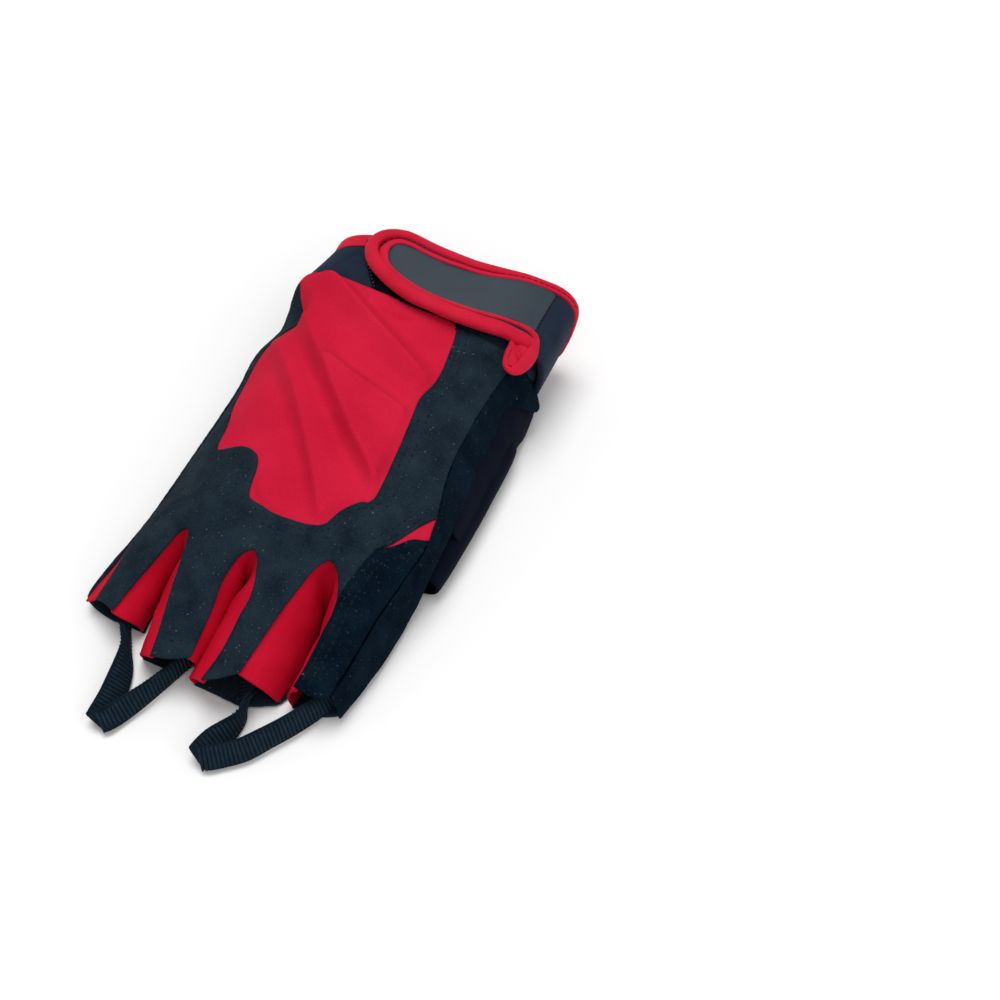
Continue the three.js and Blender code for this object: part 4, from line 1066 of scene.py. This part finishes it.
cuff = shell("wristCuff", cuffForm["rows"], cuffForm["round"], cuffGrid(0, 0.5), cuffGrid(-cloth["neoprene"]),
             finish["navyNeoprene"], ring=True)
cuffEdge = {"wide": 5.4, "out": 0.95, "in": -3.15, "steps": 180}


# The cuff's open edge all round, with the way along the arm and the way out
def openEdge(count):
    path = []
    for k in range(count):
        p, q = (cuffPoint(2 * math.pi * k / count, 1, lift) for lift in (0, 1))
        out = q - p
        out.y = 0
        path.append((p, Vector((0, 1, 0)), out.normalized()))
    return path


def cuffEdgeSection(t):
    w, out, low = cuffEdge["wide"], cuffEdge["out"], cuffEdge["in"]
    mid = (out + low) / 2
    outer = [(-w + 0.2, 0.25), (-w, out * 0.8), (-w + 0.6, out), (-1.2, out + 0.25), (0.6, out)]
    roll = [(1.35, mid + 1.2), (1.5, mid), (1.35, mid - 1.2)]
    inner = [(0.6, low), (-1.2, low - 0.25), (-w + 0.6, low), (-w, low * 0.94), (-w + 0.2, low + 0.7)]
    return outer + roll + inner + [(0.1, low + 0.75), (0.1, 0.2)]


cuffBinding = sweep("cuffBinding", openEdge(cuffEdge["steps"]), cuffEdgeSection, finish["redBinding"],
                    closed=True)

# Rows of the strap: x, y and half the strip's width; down the wrist's side, no x but an angle at the end.
strapForm = {"lift": 1.6, "core": 2.0, "leanFrom": 30, "lean": 0.2, "end": -0.28, "rows": 90, "across": 20,
             "roll": 2.4, "band": 3.0, "patch": 3.3, "rollSteps": 220, "bandSteps": 280}
rollRows = [
    (None, 64.9, 1.9, 33), (None, 64.8, 2.4, 38), (None, 64.5, 2.7, 43), (None, 64.1, 2.8, 48),
    (35.5, 63.9, 2.8), (32.1, 63.4, 2.9), (27.6, 62.6, 2.9), (22.2, 62.3, 2.9), (15.8, 62.3, 2.8),
    (8.8, 63.2, 2.8), (1.7, 64.2, 2.8), (-5.3, 66.7, 2.8), (-11.3, 69.8, 2.8), (-16.2, 73, 2.7),
    (-19.7, 76.7, 2.6), (-21.7, 80.4, 2.5), (-21.9, 84.2, 2.5), (-20.4, 87, 2.4), (-17.4, 88.9, 2.1),
    (-13, 89.7, 1.9), (-8.2, 89, 1.8), (-2.3, 87.6, 1.8), (4.3, 86.6, 1.8), (14.7, 85.7, 1.8),
    (21.1, 86.2, 1.7), (27.3, 87.3, 1.5), (33.3, 88.7, 1.4), (None, 90, 1.3, 49), (None, 91.3, 1.3, 39),
    (None, 91.8, 1.4, 30), (None, 91.9, 1.4, 21), (None, 91.9, 1.4, 11), (None, 90.4, 1.5, 2),
    (None, 88, 1.5, -6), (None, 86.6, 1.5, -15),
]
bandRows = [
    (None, 59.4, 0.6, 48), (None, 57.1, 0.7, 48), (None, 53.6, 0.7, 47), (None, 50.8, 0.8, 45),
    (None, 50.3, 1.3, 40), (None, 52.6, 2.0, 36), (None, 57.1, 2.5, 33), (None, 61.6, 2.5, 32),
    (None, 64.9, 2.0, 33), (None, 68, 1.4, 36), (None, 68.9, 1.1, 42), (None, 68.7, 0.9, 49),
    (36, 68.1, 0.8), (32.4, 67.5, 0.8), (26.4, 66.2, 0.8), (20.3, 65.6, 0.8), (14.4, 65.6, 0.8),
    (8.7, 66, 0.8), (2.5, 67.1, 0.8), (-4.1, 69.3, 0.8), (-9.6, 71.9, 0.9), (-13.7, 74.9, 1.2),
    (-15.9, 78, 1.6), (-16.8, 81.2, 1.8), (-15.8, 84, 1.6), (-13, 85.6, 1.2), (-9, 85.5, 1),
    (-4.4, 84.4, 0.95), (0.1, 83.5, 0.95), (6.2, 82.7, 0.95), (11.8, 82.6, 0.95), (16.3, 82.5, 0.95),
    (22.5, 83.3, 0.9), (28.3, 85.2, 0.85), (34.1, 87, 0.8), (None, 88.2, 0.7, 49), (None, 89.3, 0.7, 39),
    (None, 90.1, 0.7, 30), (None, 90, 0.7, 20), (None, 89.8, 0.7, 10), (None, 88, 0.7, 0),
    (None, 85.4, 0.7, -8), (None, 84, 0.7, -15),
]
patchRows = [
    (None, 70, 40), (None, 70, 46), (37.9, 69.8), (34.9, 69.2), (30.5, 68), (26.1, 66.9), (20, 66.3),
    (13.3, 66.4), (7.3, 67), (2.6, 67.8), (-2.3, 69.2), (-6.7, 71.2), (-10, 73.4), (-12.3, 75.6),
    (-13.7, 78.2), (-14.2, 80.8), (-13.7, 82.8), (-12.1, 83.9), (-9.2, 84), (-4.2, 83), (0.6, 82),
    (6.7, 81.2), (13.6, 81.1), (18.5, 81.4), (24.3, 82.9), (30, 85), (34.5, 86.2), (39, 87.1),
    (None, 87.6, 45), (None, 87.4, 40), (None, 82, 40), (None, 75, 40),
]
bowlRows = [
    (None, 58.6, 48), (None, 55.6, 47.5), (None, 52.6, 45.5), (None, 51.6, 40), (None, 53.6, 35.5),
    (None, 57.6, 33.5), (None, 61.6, 34), (None, 63.6, 37), (None, 64, 42), (None, 62, 47),
]


# A point on the strap's own surface, a height above the cuff, and the way up from it
def onCuff(x, y, lift, angle=None):
    t = clamp((y - 66) / (cuffForm["top"] - 66), 0, 1)
    left, right, high = (mix(a, b, t) for a, b in zip(cuffForm["hand"], cuffForm["open"]))
    cx, wide, power = (left + right) / 2, (right - left) / 2, cuffForm["power"]
    if x is not None:
        u = clamp((x - cx) / (wide + lift), -0.999, 0.999)
        angle = math.acos(math.copysign(abs(u) ** (power / 2), u))
    spots = []
    for out in (lift, lift + 1):
        px, pz = flatCurve(angle, cx, high / 2 + cuffForm["floor"], wide + out, high / 2 + out, power)
        px -= strapForm["lean"] * max(0, strapForm["leanFrom"] - pz) * ease(8, 46, px)
        spots.append(Vector((px, y, pz)))
    return spots[0], (spots[1] - spots[0]).normalized()


def onRow(row, lift):
    return onCuff(row[0], row[1], lift, math.radians(row[-1]) if row[0] is None else None)


# Points, side and up along strap rows, with the strip's half width at each
def strapPath(rows, count, lift):
    spots = [onRow(row, lift) for row in rows]
    line = evenLine(smoothLine([(*p, row[2]) for (p, _), row in zip(spots, rows)], 0.7), count)
    tree = treeOf([p for p, _ in spots])
    path = []
    for k, p in enumerate(line):
        a, b = line[max(k - 1, 0)], line[min(k + 1, count)]
        ahead = (b - a).to_3d().normalized()
        near = tree.find_n(p.to_3d(), 2)
        up = sum((spots[i][1] / (d + 0.3) for _, i, d in near), Vector((0, 0, 0))).normalized()
        side = ahead.cross(up).normalized()
        path.append((p.to_3d(), side, side.cross(ahead).normalized()))
    return path, [p[3] for p in line]


def strapStrip(name, rows, count, lift, outline, material):
    path, halves = strapPath(rows, count, lift)

    def section(t):
        k = round(t * count)
        fade = (0.45, 0.8, 0.95)[min(k, count - k)] if min(k, count - k) < 3 else 1
        return [(u * fade, v * fade) for u, v in outline(halves[k], t)]

    return sweep(name, path, section, material)


def rollOutline(half, t):
    turns = [2 * math.pi * k / 16 for k in range(16)]
    return [(half * math.cos(a), half * 0.82 * math.sin(a)) for a in turns]


# A flange on the band fills the groove between it and the roll.
def bandOutline(half, t):
    flange = 1.5 * ease(0.24, 0.28, t) * ease(0.97, 0.92, t)
    top = [(half * u, v) for u, v in ((1, -0.5), (0.97, 0.1), (0.75, 0.5), (0.3, 0.62), (-0.3, 0.62),
                                      (-0.75, 0.5), (-0.97, 0.1), (-1, -0.5))]
    return top + [(-half - flange, -0.55), (-half - flange, -1.1), (half * 0.8, -1.1)]


rollLift, bandLift = strapForm["lift"] + strapForm["roll"], strapForm["lift"] + strapForm["band"]
bindingRoll = strapStrip("bindingRoll", rollRows, strapForm["rollSteps"], rollLift, rollOutline,
                         finish["redBinding"])
bindingBand = strapStrip("bindingBand", bandRows, strapForm["bandSteps"], bandLift, bandOutline,
                         finish["redBinding"])
bowl = {"lift": 4.6, "wide": 5, "dip": 0.9, "crease": 1.1, "spacing": 0.7, "thick": 1.2}
bowlLine = smoothLine([onRow(row, 3.5)[0].to_2d() for row in bowlRows], 0.6, True)
bowlMid = sum((p.to_2d() for p in bowlLine), Vector((0, 0))) / len(bowlLine)


def bowlTop(x, y):
    dip = 1 - min(1, (Vector((x, y)) - bowlMid).length / bowl["wide"])
    crease = bell((x - bowlMid.x) * 0.8 + (y - bowlMid.y) * 0.6 - 0.8, 0.8)
    lift = bowl["lift"] - bowl["dip"] * dip - bowl["crease"] * crease
    return onCuff(x, y, lift)[0].z + waver(x, y, 2.5, 0.5)


bindingBowl = cutSheet("bindingBowl", [bowlLine], [], bowl["spacing"], bowlTop, bowl["thick"],
                       finish["redBinding"])
strapBinding = joinPieces("strapBinding", [bindingRoll, bindingBand, bindingBowl])

# Thread in the groove between roll and band
bandPath, bandHalf = strapPath(bandRows, strapForm["bandSteps"], bandLift)
grooveLine = [(p - side * (half + 0.1) + up * 0.45, up) for (p, side, up), half in zip(bandPath, bandHalf)]
bindingStitches = repeatAlong("bindingStitches", [grooveLine[70:250]], bar("thread", 1.5, 0.4, 0.4), 2.2,
                              finish["redThread"])

patchLine = smoothLine([onRow(row, 4.8)[0].to_2d() for row in patchRows], 1.0, True)
patchTuck = grow(patchLine, 0.5)
patchLift = strapForm["lift"] + strapForm["patch"]
strapPatch = cutSheet("strapPatch", [patchTuck], [], 1.6, lambda x, y: onCuff(x, y, patchLift)[0].z, 1.0,
                      finish["greyRubber"])
seamLift = strapForm["lift"] + 3.15
patchEnd = [onCuff(None, y, seamLift, math.radians(39.2)) for y in (87.2, 84, 80, 76, 72, 70)]
patchStitches = repeatAlong("patchStitches", [patchEnd], bar("thread", 1.5, 0.5, 0.4), 1.6,
                            finish["darkThread"])


def edgeAt(rows, x):
    for p, q in zip(rows, rows[1:]):
        if p[0] <= x <= q[0]:
            return mix(p[1], q[1], (x - p[0]) / (q[0] - p[0]))
    return rows[0][1] if x < rows[0][0] else rows[-1][1]


coreLow = [
    (-20, 80), (-16.2, 76), (-11.3, 72), (-5.3, 68.5), (1.7, 66), (8.8, 65), (15.8, 64.5), (27.6, 64.6),
    (35.5, 65.5), (41, 64.5), (49, 61.5),
]
coreHigh = [
    (-20, 82), (-17.6, 87.3), (-13, 88), (-8.2, 87.5), (-2.3, 86), (4.3, 84.8), (14.7, 84), (21.1, 84.6),
    (27.3, 85.7), (33.3, 87), (41, 88.8), (49, 90),
]


def coreGrid(lift):
    def at(i, j):
        angle = mix(0.583 * math.pi, strapForm["end"], i / strapForm["rows"])
        x = onCuff(None, 75, lift, angle)[0].x if angle > 0.3 else 60
        y = mix(edgeAt(coreLow, x), edgeAt(coreHigh, x), j / strapForm["across"])
        return onCuff(None, y, lift, angle)[0]

    return at


strapCore = shell("strapCore", strapForm["rows"], strapForm["across"],
                  coreGrid(strapForm["lift"] + 1.0 + strapForm["core"]), coreGrid(strapForm["lift"] + 0.6),
                  finish["navyNeoprene"])

loopOutline = [
    (-27.4, 88.4), (-26.5, 84.9), (-21.3, 74.8), (-14.6, 65.6), (2, 62.2), (30, 61.4), (30, 86), (-10, 88.6),
]
loopSeam = [(-26.6, 87.6), (-25.9, 84.6), (-20.8, 74.9), (-14.2, 66)]
loopPatch = cutSheet("loopPatch", [straightLine(loopOutline, 1.2)], [], 1.6,
                     lambda x, y: onCuff(x, y, 1.0)[0].z, 0.8, finish["blackLoop"])
loopStitches = repeatAlong("loopStitches", [[onCuff(x, y, 1.05) for x, y in loopSeam]],
                           bar("thread", 0.9, 0.3, 0.25), 1.7, finish["paleThread"], 0.5)
print("cuff and strap made")

# Pull loops

webbing = {"wide": 8.8, "thick": 1.2, "pitch": 1.3, "rib": 0.42, "steps": 240, "lift": 0.3,
           "ribLong": 0.74, "ribWide": 0.93}
# The webbing's two edges, station by station: x, y, z of the left one, then of the right one
loopRows = {
    "pullLoopRing": [
        (-41, -62, 7.2, -40.5, -60, 1.7), (-40, -68, 7.3, -39.8, -65.5, 1.6),
        (-37.6, -74.6, 7.8, -38, -71, 1.4), (-34.2, -80, 8, -34, -77.6, 1.3),
        (-32.9, -87.2, 7.2, -29.1, -85.9, 1.1), (-32.9, -96, 6, -25.8, -96.8, 0.9),
        (-33, -103.9, 4.9, -25.4, -105.3, 0.8), (-32.4, -105.2, 5.6, -24.6, -106.6, 1.3),
        (-27.6, -101.8, 7.4, -21.9, -101, 0.9), (-23.3, -96.2, 8.9, -19.1, -94.6, 0.9),
        (-19.4, -89.4, 9.4, -16.5, -86.8, 0.9), (-16, -81.7, 9.6, -13.9, -78.8, 1.2),
        (-13.4, -74.6, 9.6, -11.7, -72.3, 1.6), (-12, -67, 9.6, -11, -65.4, 1.8),
    ],
    "pullLoopMiddle": [
        (10.4, -72, 4, 5.4, -72.4, 2.2), (11, -79, 5.2, 7.2, -79, 1.9),
        (11.6, -85.2, 7.8, 10.4, -83.4, 1.4), (10.9, -89.4, 8.2, 12, -87, 1.2),
        (7.9, -93.6, 7.2, 11.6, -93.3, 1), (4.3, -97.8, 6.2, 10.3, -99.8, 0.9),
        (2.5, -102.6, 5.6, 8.9, -106, 0.8), (3.2, -104.1, 6.2, 10.5, -106.7, 1.2),
        (8.2, -101.5, 7.6, 14.7, -103.7, 0.8), (14.3, -98, 8.6, 19.9, -98.9, 0.8),
        (19.3, -92.4, 9, 24.2, -92.3, 0.9), (24.6, -85.3, 9.2, 28.8, -85.1, 1),
        (29.4, -77.6, 9.4, 32.9, -77.4, 1.3), (31.6, -71.3, 9.4, 35.3, -71.2, 1.6),
        (31.8, -64, 9.4, 35, -64, 1.8),
    ],
}


def webbingPath(rows):
    stations = []
    for k, row in enumerate(rows):
        middle = [(a + b) / 2 for a, b in zip(row[:3], row[3:])]
        stations.append((k, *middle, *(Vector(row[3:]) - Vector(row[:3]))))
    cols = table("k x y z a b c", stations)
    last = len(rows) - 1

    def at(k, names):
        return Vector([cols[n](k) for n in names])

    path = []
    for s in range(webbing["steps"] + 1):
        k = last * s / webbing["steps"]
        ahead = (at(min(k + 0.05, last), "xyz") - at(max(k - 0.05, 0), "xyz")).normalized()
        wide = at(k, "abc").normalized()
        path.append((at(k, "xyz") + Vector((0, 0, webbing["lift"])), wide, ahead.cross(wide).normalized()))
    return path


def webbingSection(t):
    w, h = webbing["wide"] / 2, webbing["thick"] / 2
    top = [(w * u, h * (1 - 0.5 * abs(u) ** 6)) for u in (1, 0.94, 0.8, 0.4, 0, -0.4, -0.8, -0.94, -1)]
    return top + [(u, -v) for u, v in top[::-1]]


pullLoops = []
for name, rows in loopRows.items():
    path = webbingPath(rows)
    # The band between the ribs takes the darker copy of the webbing, painted shade in the gaps.
    band = sweep(name + "Band", path, webbingSection, finish["webbingBase"], soft=False)
    turns = [path[k - 1][2].dot(path[k + 1][2]) for k in range(1, len(path) - 1)]
    fold = turns.index(min(turns)) + 1  # no ribs stand in the sharp fold at the loop's end
    lines = []
    for side in (1, -1):
        for part in (path[:fold - 8], path[fold + 9:]):
            lines.append([(p + up * (side * webbing["thick"] * 0.5), up * side) for p, _, up in part])
    rib = bar("rib", webbing["pitch"] * webbing["ribLong"], webbing["wide"] * webbing["ribWide"],
              webbing["rib"] * 2)
    ribPiece = repeatAlong(name + "Ribs", lines, rib, webbing["pitch"], finish["blackWebbing"], 0.97)
    pullLoops.append(joinPieces(name, [band, ribPiece]))
print("pull loops made")

# Everything rides on the glove's one body

# Each piece, its slot and the solid that it replaces
riding = [
    *zip(pullLoops, ("black_webbing",) * 2, ("pull_loop_ring", "pull_loop_middle")),
    (backPanel, "red_stretch", "back_panel"), (knuckleFrame, "black_suede", "knuckle_frame"),
    (indexPanel, "black_suede", "index_panel"), (indexGusset, "red_stretch", "index_gusset"),
    (suedeStitches, "black_suede"),
    *zip(gussets, ("red_stretch",) * 3, ("gusset_pinky_ring", "gusset_ring_middle", "gusset_middle_index")),
    (pinkyGusset, "red_stretch", "pinky_gusset"), (sideWall, "black_suede", "side_wall"),
    (palmPanel, "black_suede", "palm_panel"), (thumbStall, "navy_neoprene", "thumb_stall"),
    (cuff, "navy_neoprene", "cuff"), (cuffBinding, "red_binding", "cuff_binding"),
    (loopPatch, "black_loop", "loop_patch"), (strapCore, "navy_neoprene", "strap_core"),
    (strapBinding, "red_binding", "strap_binding"), (strapPatch, "grey_rubber", "strap_patch"),
    (bindingStitches, "red_binding"), (patchStitches, "grey_rubber"), (loopStitches, "black_loop"),
]
for piece, slot, *nodes in riding:
    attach(piece, "root")
    if nodes:
        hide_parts(*nodes)


# Each cloth piece's two larger sizes are read, the narrower one taken as at least leastSide; nothing more is
# done with them
leastSide = 0.0102


def declareSheet(piece):
    _, wide, long = sorted(piece.dimensions)
    wide = max(wide, leastSide)


bpy.context.view_layer.update()
for piece in (backPanel, knuckleFrame, indexPanel, indexGusset, pinkyGusset, sideWall):
    declareSheet(piece)
for piece, held in ((palmPanel, "laid"), (thumbStall, "folded"), (cuff, "stretched"), (loopPatch, "laid"),
                    (strapCore, "laid"), *((piece, "stretched") for piece in gussets),
                    *((piece, "folded") for piece in pullLoops)):
    declareSheet(piece)

# Floor, light and camera

stage = {"half": 3.0, "low": -0.0004, "white": (0.93, 0.93, 0.93), "world": 0.38}
bpy.context.scene.view_settings.view_transform = "Standard"
floorMesh = bpy.data.meshes.new("floor")
corners = ((-1, -1), (1, -1), (1, 1), (-1, 1))
floorMesh.from_pydata([(x * stage["half"], y * stage["half"], stage["low"]) for x, y in corners], [],
                      [(0, 1, 2, 3)])
floor = bpy.data.objects.new("floor", floorMesh)
bpy.context.collection.objects.link(floor)
floorMaterial = bpy.data.materials.new("paleFloor")
floorMaterial.use_nodes = True
setInputs(floorMaterial.node_tree.nodes["Principled BSDF"],
          {"Base Color": (*stage["white"], 1), "Roughness": 0.9, "Specular IOR Level": 0.1})
floorMesh.materials.append(floorMaterial)

world = bpy.data.worlds.new("studio")
bpy.context.scene.world = world
world.use_nodes = True
setInputs(world.node_tree.nodes["Background"], {"Color": (1, 1, 1, 1), "Strength": stage["world"]})

lamps = {
    "overhead": {"from": (-0.12, 0.18, 1.0), "angle": 35, "strength": 1.75},
    "front": {"from": (0.6, -0.45, 0.8), "angle": 70, "strength": 0.85},
}
for name, lamp in lamps.items():
    data = bpy.data.lights.new(name, "SUN")
    data.angle = math.radians(lamp["angle"])
    data.energy = lamp["strength"]
    light = bpy.data.objects.new(name, data)
    bpy.context.collection.objects.link(light)
    light.rotation_euler = Vector(lamp["from"]).to_track_quat("Z", "Y").to_euler()

# The spot is where the aimed point stands in a frame of 1000 by 1000.
view = {"azimuth": 23, "elevation": 52, "lens": 68.4, "sensor": 36, "distance": 625, "frame": 1000,
        "spot": (330, 470), "aim": (0, 0, 20)}


def makeCamera():
    az, el = math.radians(view["azimuth"]), math.radians(view["elevation"])
    back = Vector((math.sin(az) * math.cos(el), -math.cos(az) * math.cos(el), math.sin(el)))
    right = Vector((math.cos(az), math.sin(az), 0))
    up = back.cross(right)
    focal = view["lens"] / view["sensor"] * view["frame"]
    middle = view["frame"] / 2
    u, v = (view["spot"][0] - middle) / focal, (middle - view["spot"][1]) / focal
    data = bpy.data.cameras.new("camera")
    data.lens, data.sensor_width = view["lens"], view["sensor"]
    camera = bpy.data.objects.new("camera", data)
    bpy.context.collection.objects.link(camera)
    camera.location = place(Vector(view["aim"]) + view["distance"] * (back - right * u - up * v))
    camera.rotation_euler = back.to_track_quat("Z", "Y").to_euler()
    bpy.context.scene.camera = camera


makeCamera()
print("stage, lights and camera set")
